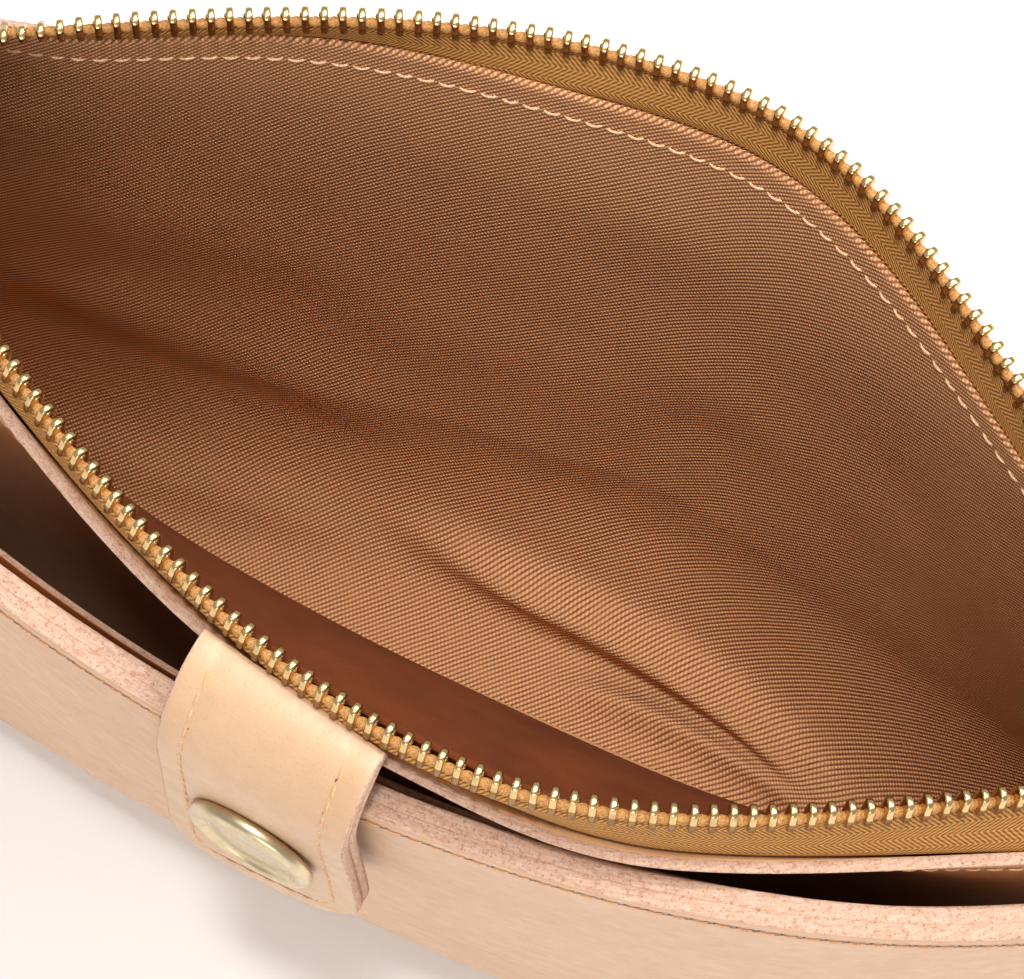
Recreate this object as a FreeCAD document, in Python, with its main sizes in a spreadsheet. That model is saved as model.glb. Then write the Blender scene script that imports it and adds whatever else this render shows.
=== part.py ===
import FreeCAD, Part
import math
import os

# Zippered leather pouch with a front slip pocket and a snap tab, in millimetres.
# +X runs along the zipper, -Y is the front, +Z is up.  The pouch stands on its boxed base with its
# mouth open: the slider is parked near the left end, and the walls bulge apart to the right of it.

DIMENSIONS = {
    "half_length": 108.0,       # middle of the pouch to the inner face of a side seam
    "chain_height": 130.0,      # height of the zipper's tape edges
    "base_depth": 19.6,         # middle to the inner face of the wall leather, at the base
    "base_thickness": 1.5,
    "leather": 1.4,
    "pocket_leather": 1.8,      # each of the slip pocket's two layers
    "divider_thickness": 0.7,
    "lining": 0.6,
    "lining_gap": 1.0,          # room between leather and lining, where the tape is sewn in
    "layer_gap": 0.35,
    "pocket_height": 118.0,
    "pocket_bulge": 43.5,
    "pocket_room": 1.3,         # least room inside the slip pocket
    "facing_height": 34.0,
    "tape_thickness": 0.55,
    "tape_hidden": 5.0,         # width of tape sewn in below the leather's edge
    "tooth_pitch": 2.0,
    "tooth_thick": 0.9,
    "chain_half": 1.15,         # middle of the closed chain to a tape's edge
    "chain_start": -99.5,
    "chain_end": 99.5,
    "mouth_left": -82.0,        # where the two chains begin to part
    "mouth_right": 106.0,
    "end_sag": 22.0,            # how far the open right end sinks
    "sag_start": 30.0,
    "slider_x": -79.5,
    "slider_length": 10.0,
    "slider_height": 4.2,
    "slider_channel": 2.6,
    "slider_slot": 1.2,
    "crown_width": 1.6,
    "crown_height": 3.4,
    "pull_length": 22.0,
    "pull_width": 6.0,
    "pull_thick": 1.3,
    "pin_room": 0.05,
    "tab_width": 23.0,
    "tab_reach": 6.6,           # from the tab's fold line out to its bend
    "tab_drop": 6.5,
    "tab_face": 35.3,           # from the bend down to the tab's end
    "tab_lean": 1.0,
    "tab_yaw": -7.0,
    "tab_root_y": -43.4,
    "tab_root_z": 126.6,
    "tab_corner": 7.0,
    "bend_radius": 10.0,
    "snap_along": 16.0,
    "cap_radius": 7.6,
    "cap_height": 1.7,
    "post_radius": 1.6,
    "socket_radius": 5.2,
    "socket_hole": 2.7,
    "stud_radius": 1.9,
    "stud_flange": 4.6,
}

doc = FreeCAD.newDocument("zippered_pouch")
sheet = doc.addObject("Spreadsheet::Sheet", "dimensions")
for row, (alias, size) in enumerate(DIMENSIONS.items(), start=1):
    sheet.set(f"A{row}", alias)
    sheet.set(f"B{row}", str(size))
    sheet.setAlias(f"B{row}", alias)
doc.recompute()

subparts = []


def dim(alias):
    return float(sheet.get(alias))


def bind(item, prop, formula):
    """Drives one property from the sheet; every word of the formula that is an alias is a cell."""
    words = [f"dimensions.{word}" if word in DIMENSIONS else word for word in formula.split()]
    item.setExpression(prop, " ".join(words))


def vec(x, y, z):
    return FreeCAD.Vector(x, y, z)


# ---------------------------------------------------------------- shape of the walls and the mouth

LENGTH = dim("half_length")
CHAIN_Z = dim("chain_height")
SPAN_POINTS = 45
RISE_POINTS = 9
FRONT = -1
BACK = 1
MOUTH = {
    FRONT: {"depth": 41.3, "peak": 18.8, "left_power": 1.28, "right_power": 1.5},
    BACK: {"depth": 36.0, "peak": 13.8, "left_power": 1.24, "right_power": 2.54},
}
POCKET_PEAK = 8.0
POCKET_LEFT_POWER = 0.75
POCKET_RIGHT_POWER = 0.65
POCKET_SAG = 0.8            # how much of the chain's sag the pocket's edge follows
WALL_POWER = {FRONT: 5.0, BACK: 0.7}    # how late a wall reaches its full bulge on the way up
POCKET_RISE = 0.45          # the same for the slip pocket, which swells out from its foot
SEAM_GAP = 0.05
INNER_SHRINK_DEPTH = 20.0
BASE_END_POWER = 6
RIM_END_POWER = 12
OPEN_SET = 1.8              # tape edge to the leather's inner face where the mouth is open
CLOSED_SET = 5.0            # the same beside the closed chain, so that the slider passes
SET_FROM = -70.0
SET_TO = -50.0
BACK_DRAW = 2.6             # how far the back wall is drawn in under its chain, in the middle
FRONT_DRAW = 1.5            # the same for the front wall
FRONT_SPREAD = 3.0          # how much farther out the front wall stands at the right end


def smooth(value, low, high):
    ratio = min(1.0, max(0.0, (value - low) / (high - low)))
    return ratio * ratio * (3.0 - 2.0 * ratio)


def dome(x, left, peak, right, left_power, right_power):
    if x <= left or x >= right:
        return 0.0
    if x < peak:
        return math.cos(math.pi / 2 * (peak - x) / (peak - left)) ** left_power
    return math.cos(math.pi / 2 * (x - peak) / (right - peak)) ** right_power


def chain_y(x, side):
    """How far a tape's edge stands from the middle plane."""
    mouth = MOUTH[side]
    rise = dome(x, dim("mouth_left"), mouth["peak"], dim("mouth_right"),
                mouth["left_power"], mouth["right_power"])
    return dim("chain_half") + mouth["depth"] * rise


def chain_z(x):
    reach = max(0.0, x - dim("sag_start")) / (dim("mouth_right") - dim("sag_start"))
    return CHAIN_Z - dim("end_sag") * reach ** 2


def tape_set(x, side):
    """Tape edge to the leather's inner face, measured across the mouth."""
    reach = CLOSED_SET + (OPEN_SET - CLOSED_SET) * smooth(x, SET_FROM, SET_TO)
    if side == BACK:
        return reach - BACK_DRAW * smooth(x, -40.0, 0.0) * (1.0 - smooth(x, 55.0, 100.0))
    reach -= FRONT_DRAW * smooth(x, -45.0, -5.0) * (1.0 - smooth(x, 15.0, 42.0))
    return reach + FRONT_SPREAD * smooth(x, 35.0, 95.0)


def leather_set(x):
    """Chain to the leather's top edge: more tape shows towards the right end."""
    return 6.0 + 2.0 * smooth(x, 0.0, 40.0)


def leather_top(x):
    return chain_z(x) - leather_set(x)


def end_taper(x, power):
    return math.sqrt(max(0.0, 1.0 - abs(x / LENGTH) ** power))


def wall_depth(x, z, side):
    """Middle plane to the inner face of the wall leather."""
    rise = (max(0.0, z) / leather_top(x)) ** WALL_POWER[side]
    base = dim("base_depth") * end_taper(x, BASE_END_POWER)
    rim = (chain_y(x, side) + tape_set(x, side)) * end_taper(x, RIM_END_POWER)
    return base + (rim - base) * rise


def span_x(ratio):
    """Stations along the pouch, close together near the side seams."""
    return -LENGTH * math.cos(math.pi * ratio)


def wall_point(ratio, z, side, offset):
    """A point at a distance outside the wall's inner face; inner layers shrink towards the middle."""
    if offset < 0:
        x = span_x(ratio)
        depth = wall_depth(x, z, side) * (1.0 + offset / INNER_SHRINK_DEPTH)
        return vec(x * (1.0 + offset / LENGTH), side * (SEAM_GAP + depth), z)
    step = 1e-4
    low = max(0.0, ratio - step)
    high = min(1.0, ratio + step)
    x_low, x_high = span_x(low), span_x(high)
    along_x = x_high - x_low
    along_y = wall_depth(x_high, z, side) - wall_depth(x_low, z, side)
    size = math.hypot(along_x, along_y)
    x = span_x(ratio)
    depth = wall_depth(x, z, side)
    if ratio in (0.0, 1.0):
        return vec(x + math.copysign(offset, x), side * SEAM_GAP, z)
    return vec(x - offset * along_y / size, side * (SEAM_GAP + depth + offset * along_x / size), z)


def pocket_offset(ratio, z):
    """Wall's inner face to the slip pocket's inner face: the pocket stands open above its foot."""
    x = span_x(ratio)
    edge = dim("pocket_bulge") * dome(x, -LENGTH, POCKET_PEAK, LENGTH, POCKET_LEFT_POWER,
                                        POCKET_RIGHT_POWER)
    foot = wall_depth(x, 0.0, FRONT) + dim("leather")
    face = foot + (edge - foot) * max(0.0, z / dim("pocket_height")) ** POCKET_RISE
    spare = face - wall_depth(x, z, FRONT) - dim("leather") - dim("pocket_room")
    extra = (spare + math.hypot(spare, 1.0)) / 2
    lift = smooth(z, 0.0, 15.0)
    room = dim("layer_gap") + (dim("pocket_room") - dim("layer_gap")) * smooth(z, 2.0, 30.0)
    return dim("leather") + room + extra * lift * smooth(LENGTH - abs(x), 1.0, 60.0)


# ---------------------------------------------------------------- soft layers

def skin(rows):
    surface = Part.BSplineSurface()
    surface.interpolate(rows)
    return surface.toShape()


def slab(outer_rows, inner_rows):
    """A closed sheet of material between two grids of points."""
    outer = skin(outer_rows)
    inner = skin(inner_rows)
    sides = [Part.makeRuledSurface(*pair) for pair in zip(border(outer), border(inner))]
    shell = Part.Shell(Part.Compound([outer, inner] + sides).Faces)
    if not shell.isClosed():
        shell.sewShape()
    solid = Part.Solid(shell)
    if solid.Volume < 0:
        solid.reverse()
    return solid


def border(face):
    """The four boundary curves of a grid surface, in a fixed order."""
    surface = face.Surface
    u_low, u_high, v_low, v_high = surface.bounds()
    curves = [surface.uIso(u_low), surface.uIso(u_high), surface.vIso(v_low), surface.vIso(v_high)]
    return [curve.toShape() for curve in curves]


def feature(name, shape):
    item = doc.addObject("Part::Feature", name)
    item.Label = name
    item.Shape = shape
    item.Placement = FreeCAD.Placement()
    subparts.append(item)
    return item


def wall_layer(side, inner, outer, foot, top, inset=0.0):
    """A wall layer between two distances outside the wall's inner face."""
    grids = []
    for distance in (outer, inner):
        rows = []
        for i in range(SPAN_POINTS):
            ratio = inset + (1.0 - 2.0 * inset) * i / (SPAN_POINTS - 1)
            low = foot(span_x(ratio)) if callable(foot) else foot
            high = top(span_x(ratio))
            heights = [low + (high - low) * k / (RISE_POINTS - 1) for k in range(RISE_POINTS)]
            rows.append([wall_point(ratio, z, side, distance(ratio, z)) for z in heights])
        grids.append(rows)
    return slab(*grids)


def steady(offset):
    return lambda ratio, z: offset


BASE_TOP = dim("base_thickness")
WALL_FOOT = BASE_TOP + 0.1
LEATHER = dim("leather")
LINING_OUT = -dim("lining_gap")
LINING_IN = LINING_OUT - dim("lining")
LINING_FOOT = BASE_TOP + 2 * dim("lining")
FACING_IN = LINING_OUT - 1.0
POCKET_LEATHER = dim("pocket_leather")
BACKING_OUT = POCKET_LEATHER + dim("layer_gap")
DIVIDER_SHARE = 0.85        # where the divider stands in the slip pocket's room
DIVIDER_DROP = 3.0
RIVET_GRIP = 3.8
DIVIDER_FOOT = 32.0
DIVIDER_INSET = 0.09
LINING_FOLD = 4.0           # chain to the back lining's folded edge, at the left


def facing_foot(x):
    return chain_z(x) - leather_set(0.0) - dim("facing_height")


def facing_top(x):
    return leather_top(x) + 0.5


def lining_top_front(x):
    return facing_foot(x) - 0.2


def lining_top_back(x):
    return chain_z(x) - LINING_FOLD - 3.5 * smooth(x, -45.0, 20.0)


def pocket_top(x):
    return dim("pocket_height") - POCKET_SAG * (CHAIN_Z - chain_z(x))


def divider_top(x):
    return pocket_top(x) - DIVIDER_DROP


def divider_inner(ratio, z):
    room = pocket_offset(ratio, z) - LEATHER
    return LEATHER + DIVIDER_SHARE * max(0.0, room - dim("divider_thickness"))


def divider_outer(ratio, z):
    room = pocket_offset(ratio, z) - LEATHER
    return divider_inner(ratio, z) + min(dim("divider_thickness"), 0.8 * room)


def pocket_layer(order):
    """The slip pocket's two leather layers: 0 is the backing, 1 the outer panel."""
    def inner(ratio, z):
        return pocket_offset(ratio, z) + order * BACKING_OUT

    def outer(ratio, z):
        return inner(ratio, z) + POCKET_LEATHER

    return wall_layer(FRONT, inner, outer, WALL_FOOT, pocket_top)


def outline_plate(low, high, front_offset, back_offset):
    """A flat plate that fills the pouch's plan outline at its foot."""
    points = []
    for side, offset in ((FRONT, front_offset), (BACK, back_offset)):
        ratios = [k / (SPAN_POINTS - 1) for k in range(SPAN_POINTS)]
        if side == BACK:
            ratios.reverse()
        for ratio in ratios[1:-1]:
            spot = wall_point(ratio, low, side, offset)
            points.append(vec(spot.x, spot.y, low))
    curve = Part.BSplineCurve()
    curve.interpolate(points, PeriodicFlag=True)
    return Part.Face(Part.Wire(curve.toShape())).extrude(vec(0, 0, high - low))


# ---------------------------------------------------------------- frames of the snap tab

YAW = math.radians(dim("tab_yaw"))
LEAN = math.radians(dim("tab_lean"))
TAB_ROOT = vec(0.0, dim("tab_root_y"), dim("tab_root_z"))
TAB_ACROSS = vec(math.cos(YAW), math.sin(YAW), 0.0)
TAB_OUT = vec(math.sin(YAW), -math.cos(YAW), 0.0)
TAB_NORMAL = TAB_OUT * math.cos(LEAN) + vec(0.0, 0.0, -math.sin(LEAN))
TAB_DOWN = TAB_OUT * -math.sin(LEAN) + vec(0.0, 0.0, -math.cos(LEAN))
TAB_BEND = TAB_ROOT + TAB_OUT * dim("tab_reach") + vec(0.0, 0.0, -dim("tab_drop"))
SNAP_CENTRE = TAB_BEND + TAB_DOWN * dim("snap_along")


def pocket_face_along(start, direction):
    """Distance from a point, along a line, to the slip pocket's outer face."""
    low, high = 0.0, 20.0
    for _ in range(40):
        middle = (low + high) / 2
        spot = start + direction * middle
        ratio = math.acos(-spot.x / LENGTH) / math.pi
        face = wall_point(ratio, spot.z, FRONT, pocket_offset(ratio, spot.z) + BACKING_OUT + POCKET_LEATHER)
        if spot.y < face.y:
            low = middle
        else:
            high = middle
    return low


SNAP_GAP = pocket_face_along(SNAP_CENTRE, TAB_NORMAL * -1)
POST_BORE = dim("post_radius") + 0.1
POST = Part.makeCylinder(POST_BORE, 9.0, SNAP_CENTRE - TAB_NORMAL * (SNAP_GAP + 6.5), TAB_NORMAL)

feature("front_panel", wall_layer(FRONT, steady(0.0), steady(LEATHER), WALL_FOOT, leather_top))
feature("back_panel", wall_layer(BACK, steady(0.0), steady(LEATHER), WALL_FOOT, leather_top))
feature("pocket_backing", pocket_layer(0).cut(POST).Solids[0])
feature("pocket_panel", pocket_layer(1).cut(POST).Solids[0])
feature("pocket_divider", wall_layer(FRONT, divider_inner, divider_outer, DIVIDER_FOOT, divider_top,
                                     DIVIDER_INSET))
feature("lining_front", wall_layer(FRONT, steady(LINING_IN), steady(LINING_OUT), LINING_FOOT,
                                   lining_top_front))
feature("lining_back", wall_layer(BACK, steady(LINING_IN), steady(LINING_OUT), LINING_FOOT,
                                  lining_top_back))
feature("front_facing", wall_layer(FRONT, steady(FACING_IN), steady(LINING_OUT), facing_foot, facing_top))
FRONT_STACK = LEATHER + POCKET_LEATHER + BACKING_OUT + dim("layer_gap")
BASE_LINING = LINING_IN - dim("layer_gap")
feature("base_panel", outline_plate(0.0, BASE_TOP, FRONT_STACK, LEATHER))
feature("lining_base", outline_plate(WALL_FOOT, WALL_FOOT + dim("lining"), BASE_LINING, BASE_LINING))

# ---------------------------------------------------------------- zipper chain and tapes

OPEN_TILT = {FRONT: 74.0, BACK: 92.0}   # a tooth's angle above the horizontal where the mouth is open
TILT_FROM = -73.0
TILT_TO = -46.0
PATH_STEP = 0.05
TAPE_STATIONS = 56
TAPE_FLAT = 2.0             # how far a tape runs straight out of its teeth
TAPE_SHOWN = 0.6            # how far above the leather's edge a tape reaches the wall
TAPE_LEFT = -101.7
TAPE_RIGHT = 102.3
STOP_LENGTH = 2.4
TOOTH_PROFILE = [
    (-1.1, 0.36), (-1.1, 0.85), (-0.9, 1.0), (0.6, 1.0), (0.9, 0.8), (2.0, 0.8), (2.2, 0.6),
    (2.2, -0.6), (2.0, -0.8), (0.9, -0.8), (0.6, -1.0), (-0.9, -1.0), (-1.1, -0.85),
    (-1.1, -0.36), (0.2, -0.36), (0.2, 0.36),
]


def chain_point(x, side):
    return vec(x, side * chain_y(x, side), chain_z(x))


def chain_frame(x, side):
    """Tangent, the way the teeth point, and the way their outer faces look."""
    tangent = (chain_point(x + 0.01, side) - chain_point(x - 0.01, side)).normalize()
    inward = vec(0.0, -side, 0.0)
    inward = (inward - tangent * tangent.dot(inward)).normalize()
    upward = tangent.cross(inward)
    if upward.z < 0:
        upward = upward * -1
    tilt = math.radians(OPEN_TILT[side] * smooth(x, TILT_FROM, TILT_TO))
    heads = inward * math.cos(tilt) + upward * math.sin(tilt)
    faces = upward * math.cos(tilt) - inward * math.sin(tilt)
    return tangent, heads, faces


def chain_stations(side, first, pitch):
    """Places along the chain at equal distances along its curve."""
    places = []
    x = dim("chain_start")
    walked = 0.0
    due = first
    while x < dim("chain_end"):
        if walked >= due:
            places.append(x)
            due += pitch
        walked += chain_point(x + PATH_STEP, side).distanceToPoint(chain_point(x, side))
        x += PATH_STEP
    return places


def placed_on_chain(shape, x, side):
    tangent, heads, faces = chain_frame(x, side)
    along = heads.cross(faces)
    spot = chain_point(x, side)
    matrix = FreeCAD.Matrix(along.x, heads.x, faces.x, spot.x,
                            along.y, heads.y, faces.y, spot.y,
                            along.z, heads.z, faces.z, spot.z,
                            0, 0, 0, 1)
    copy = shape.copy()
    copy.Placement = FreeCAD.Placement(matrix)
    return copy


def tooth():
    half = dim("tooth_thick") / 2
    points = [vec(-half, y, z) for y, z in TOOTH_PROFILE]
    face = Part.Face(Part.makePolygon(points + points[:1]))
    return face.extrude(vec(dim("tooth_thick"), 0, 0))


def stop_clip():
    """A stop crimped over one tape's edge, as long as two teeth."""
    clip = Part.makeBox(STOP_LENGTH, 2.6, 2.2, vec(-STOP_LENGTH / 2, -1.3, -1.1))
    return clip.makeFillet(0.3, clip.Edges)


def tape_line(x, side):
    """The tape's middle across its width at one station, from its edge down to its hidden edge."""
    tangent, heads, faces = chain_frame(x, side)
    heads = heads - tangent * (heads.x / tangent.x)
    edge = chain_point(x, side)
    ratio = math.acos(-x / LENGTH) / math.pi
    line = [edge, edge - heads * TAPE_FLAT / 3, edge - heads * TAPE_FLAT * 2 / 3, edge - heads * TAPE_FLAT]
    for k in range(4):
        spot = wall_point(ratio, leather_top(x) + TAPE_SHOWN - k * dim("tape_hidden") / 3, side,
                          -dim("lining_gap") / 2)
        line.append(vec(x, spot.y, spot.z))
    return line


def tape_section(before, line, after):
    """The tape's closed cross-section in the plane of one station."""
    faces = [[], []]
    for k, spot in enumerate(line):
        across = line[min(k + 1, len(line) - 1)] - line[max(k - 1, 0)]
        flat = vec(0.0, across.z, -across.y).normalize()
        normal = (after[k] - before[k]).cross(across).normalize()
        reach = HALF_TAPE / max(0.7, abs(flat.dot(normal)))
        faces[0].append(spot + flat * reach)
        faces[1].append(spot - flat * reach)
    faces[1].reverse()
    curves = []
    for points in faces:
        curve = Part.BSplineCurve()
        curve.interpolate(points)
        curves.append(curve.toShape())
    ends = [Part.makeLine(faces[0][-1], faces[1][0]), Part.makeLine(faces[1][-1], faces[0][0])]
    return Part.Wire([curves[0], ends[0], curves[1], ends[1]])


def tape(side):
    step = (TAPE_RIGHT - TAPE_LEFT) / (TAPE_STATIONS - 1)
    lines = [tape_line(TAPE_LEFT + step * (i - 1), side) for i in range(TAPE_STATIONS + 2)]
    sections = [tape_section(*three) for three in zip(lines, lines[1:], lines[2:])]
    return Part.makeLoft(sections, True, True)


TOOTH = tooth()
HALF_TAPE = dim("tape_thickness") / 2
FIRST_TOOTH = {FRONT: 0.0, BACK: dim("tooth_pitch") / 2}

for side, name in ((FRONT, "front"), (BACK, "back")):
    stations = chain_stations(side, FIRST_TOOTH[side], dim("tooth_pitch"))
    closed = [x for x in stations if x < TILT_FROM]
    opened = [x for x in stations if x >= TILT_FROM]
    feature(f"closed_teeth_{name}", Part.makeCompound([placed_on_chain(TOOTH, x, side) for x in closed]))
    feature(f"open_teeth_{name}", Part.makeCompound([placed_on_chain(TOOTH, x, side) for x in opened]))
    feature(f"zipper_tape_{name}", tape(side))

stop_x = dim("chain_end") + 1.6
clips = [placed_on_chain(stop_clip(), stop_x, side) for side in (FRONT, BACK)]
feature("top_stops", Part.makeCompound(clips))

# ---------------------------------------------------------------- bodies made from sketches


def origin_plane(body, role):
    return next(plane for plane in body.Origin.OriginFeatures if plane.Role == role)


def new_body(name, placement):
    body = doc.addObject("PartDesign::Body", name)
    body.Label = name
    body.Placement = placement
    return body


def polygon_sketch(body, name, plane, *outlines):
    """A sketch on one of the body's own origin planes, of closed outlines with straight sides."""
    sketch = body.newObject("Sketcher::SketchObject", name)
    sketch.AttachmentSupport = [(origin_plane(body, plane), "")]
    sketch.MapMode = "FlatFace"
    for outline in outlines:
        for start, finish in zip(outline, outline[1:] + outline[:1]):
            sketch.addGeometry(Part.LineSegment(vec(*start, 0), vec(*finish, 0)), False)
    return sketch


def add_circle(sketch, centre, radius):
    sketch.addGeometry(Part.Circle(vec(*centre, 0), vec(0, 0, 1), radius), False)


def pad(body, sketch, formula):
    """A pad to both sides of its sketch, whose thickness follows the sheet."""
    item = body.newObject("PartDesign::Pad", sketch.Name + "_pad")
    item.Profile = sketch
    item.Midplane = True
    bind(item, "Length", formula)
    doc.recompute()
    return item


def pocket(body, sketch, formula):
    """A pocket to both sides of its sketch; it must take material away."""
    before = body.Shape.Volume
    item = body.newObject("PartDesign::Pocket", sketch.Name + "_pocket")
    item.Profile = sketch
    item.Midplane = True
    bind(item, "Length", formula)
    doc.recompute()
    if body.Shape.Volume >= before:
        raise RuntimeError(f"{item.Name} cuts nothing")
    return item


def revolve(body, sketch):
    item = body.newObject("PartDesign::Revolution", sketch.Name + "_turn")
    item.Profile = sketch
    item.ReferenceAxis = (sketch, ["V_Axis"])
    item.Angle = 360.0
    doc.recompute()
    return item


def fillet(body, base, chosen, formula):
    """Rounds the edges that a test picks out by their middle point."""
    names = [f"Edge{k}" for k, edge in enumerate(base.Shape.Edges, start=1)
             if chosen(edge.valueAt((edge.FirstParameter + edge.LastParameter) / 2), edge)]
    item = body.newObject("PartDesign::Fillet", base.Name + "_fillet")
    item.Base = (base, names)
    bind(item, "Radius", formula)
    doc.recompute()
    return item


def turned(name, profile, placement):
    body = new_body(name, placement)
    revolve(body, polygon_sketch(body, name + "_profile", "XZ_Plane", profile))
    subparts.append(body)


# ---------------------------------------------------------------- slider, crown and pull

SLIDER_PLACE = FreeCAD.Placement(vec(dim("slider_x"), 0, CHAIN_Z), FreeCAD.Rotation())
reach = dim("slider_length") / 2
WIDE = 6.5                  # outside of the rails where the two chains come in, from the middle
NARROW = 3.4                # the same where the closed chain leaves
WALL = 0.75                 # thickness of a rail
SPREAD = -2.5               # where the rails begin to spread
DIAMOND = [(2.2, 0.0), (3.5, 0.55), (4.8, 0.0), (3.5, -0.55)]

slider = new_body("slider_body", SLIDER_PLACE)
outline = [(-reach, -NARROW + 0.5), (-reach, NARROW - 0.5), (-reach + 0.6, NARROW), (SPREAD, NARROW),
           (reach - 0.8, WIDE), (reach, WIDE - 0.6), (reach, -WIDE + 0.6), (reach - 0.8, -WIDE),
           (SPREAD, -NARROW), (-reach + 0.6, -NARROW)]
pad(slider, polygon_sketch(slider, "slider_outline", "XY_Plane", outline), "slider_height")
past = reach + 1.0
inside = NARROW - WALL
channel = [(-past, -inside), (-past, inside), (SPREAD, inside), (past, WIDE), (past, -WIDE),
           (SPREAD, -inside)]
pocket(slider, polygon_sketch(slider, "slider_channel_cut", "XY_Plane", channel, DIAMOND), "slider_channel")
slot = [(-past, -WIDE - 1.0), (-past, WIDE + 1.0), (past, WIDE + 1.0), (past, -WIDE - 1.0)]
pocket(slider, polygon_sketch(slider, "tape_slot_cut", "XY_Plane", slot, DIAMOND), "slider_slot")
subparts.append(slider)

LEG_OUT = 3.4
LEG_IN = 2.4
BAR_UNDER = dim("crown_height") - 1.0
SLIDER_TOP = CHAIN_Z + dim("slider_height") / 2
CROWN_PLACE = FreeCAD.Placement(vec(dim("slider_x"), 0, SLIDER_TOP), FreeCAD.Rotation())
crown = new_body("slider_crown", CROWN_PLACE)
BAR_TOP = dim("crown_height")
arch = [(-LEG_OUT, 0.0), (-LEG_OUT, BAR_UNDER), (-LEG_IN, BAR_TOP), (LEG_IN, BAR_TOP),
        (LEG_OUT, BAR_UNDER), (LEG_OUT, 0.0), (LEG_IN, 0.0), (LEG_IN, BAR_UNDER - 0.6),
        (LEG_IN - 0.6, BAR_UNDER), (-LEG_IN + 0.6, BAR_UNDER), (-LEG_IN, BAR_UNDER - 0.6), (-LEG_IN, 0.0)]
pad(crown, polygon_sketch(crown, "crown_arch", "XZ_Plane", arch), "crown_width")
subparts.append(crown)

PIVOT_RISE = 1.25
PULL_EYE = 2.3
PULL_PLACE = FreeCAD.Placement(CROWN_PLACE.Base + vec(0, 0, PIVOT_RISE), FreeCAD.Rotation())
pull = new_body("zipper_pull", PULL_PLACE)
half_thick = dim("pull_thick") / 2
half_wide = dim("pull_width") / 2
blade = [(half_thick, -PULL_EYE), (half_thick, PULL_EYE), (-5.0, PULL_EYE), (-8.0, half_wide),
         (-dim("pull_length"), half_wide), (-dim("pull_length"), -half_wide), (-8.0, -half_wide),
         (-5.0, -PULL_EYE)]
blank = pad(pull, polygon_sketch(pull, "pull_outline", "XY_Plane", blade), "pull_thick")
window = [(-half_thick, -1.15), (-half_thick, 1.15), (-4.1, 1.15), (-4.1, -1.15)]
holes = polygon_sketch(pull, "pull_holes", "XY_Plane", window)
add_circle(holes, (-dim("pull_length") + 3.0, 0.0), 1.3)
tip_x = -dim("pull_length")
fillet(pull, blank, lambda spot, edge: abs(spot.x - tip_x) < 0.1 and abs(abs(spot.y) - half_wide) < 0.1
       and abs(spot.z) < 0.1, "pull_width * 0.4")
pocket(pull, holes, "pull_thick * 2")
subparts.append(pull)

stop = doc.addObject("Part::Box", "bottom_stop_block")
stop.Length = 1.5
stop.Width = 4.6
stop.Height = 2.4
stop.Placement = FreeCAD.Placement(vec(TAPE_LEFT - 0.2, -2.3, CHAIN_Z - 1.2), FreeCAD.Rotation())
doc.recompute()
rounded = doc.addObject("Part::Fillet", "bottom_stop")
rounded.Base = stop
rounded.Edges = [(k, 0.35, 0.35) for k in range(1, 13)]
rounded.Label = "bottom_stop"
subparts.append(rounded)

# ---------------------------------------------------------------- snap tab and snap fastener

first_leg = vec(0.0, -dim("tab_reach"), -dim("tab_drop"))
second_leg = vec(0.0, dim("tab_face") * math.sin(LEAN), -dim("tab_face") * math.cos(LEAN))


def strip_corner(distance):
    """The bend's corner on a layer at a distance outside the strap's middle."""
    normals = [vec(0.0, leg.z, -leg.y).normalize() for leg in (first_leg, second_leg)]
    total = normals[0] + normals[1]
    return first_leg + total * (distance / (1.0 + normals[0].dot(normals[1]))), normals


def strap_layer(name, low, high, outer_radius):
    turn = FreeCAD.Rotation(vec(0, 0, 1), dim("tab_yaw"))
    body = new_body(name + "_strip", FreeCAD.Placement(TAB_ROOT, turn))
    tip = first_leg + second_leg
    points = []
    corners = []
    for distance in (high, low):
        corner, normals = strip_corner(distance)
        corners.append(corner)
        points.append([normals[0] * distance, corner, tip + normals[1] * distance])
    outline = points[0] + points[1][::-1]
    sketch = polygon_sketch(body, name + "_profile", "YZ_Plane", [(spot.y, spot.z) for spot in outline])
    strip = pad(body, sketch, "tab_width")
    half = dim("tab_width") / 2
    for corner, formula in zip(corners, (outer_radius, f"{outer_radius} - leather")):
        strip = fillet(body, strip, lambda spot, edge, at=corner: abs(spot.x) < 0.1
                       and math.hypot(spot.y - at.y, spot.z - at.z) < 0.1, formula)
    ends = tip.z + dim("leather")
    fillet(body, strip, lambda spot, edge: abs(abs(spot.x) - half) < 0.1 and spot.z < ends
           and edge.Length < dim("leather") + 0.1, "tab_corner")
    hole = doc.addObject("Part::Cylinder", name + "_hole")
    bind(hole, "Radius", "post_radius + pin_room")
    bind(hole, "Height", "leather * 6")
    hole.Placement = FreeCAD.Placement(SNAP_CENTRE - TAB_NORMAL * 3 * LEATHER,
                                       FreeCAD.Rotation(vec(0, 0, 1), TAB_NORMAL))
    cut = doc.addObject("Part::Cut", name)
    cut.Base = body
    cut.Tool = hole
    cut.Label = name
    doc.recompute()
    subparts.append(cut)


strap_layer("snap_tab_outer", 0.0, LEATHER, "bend_radius")
strap_layer("snap_tab_lining", -LEATHER, 0.0, "bend_radius - leather")

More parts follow.
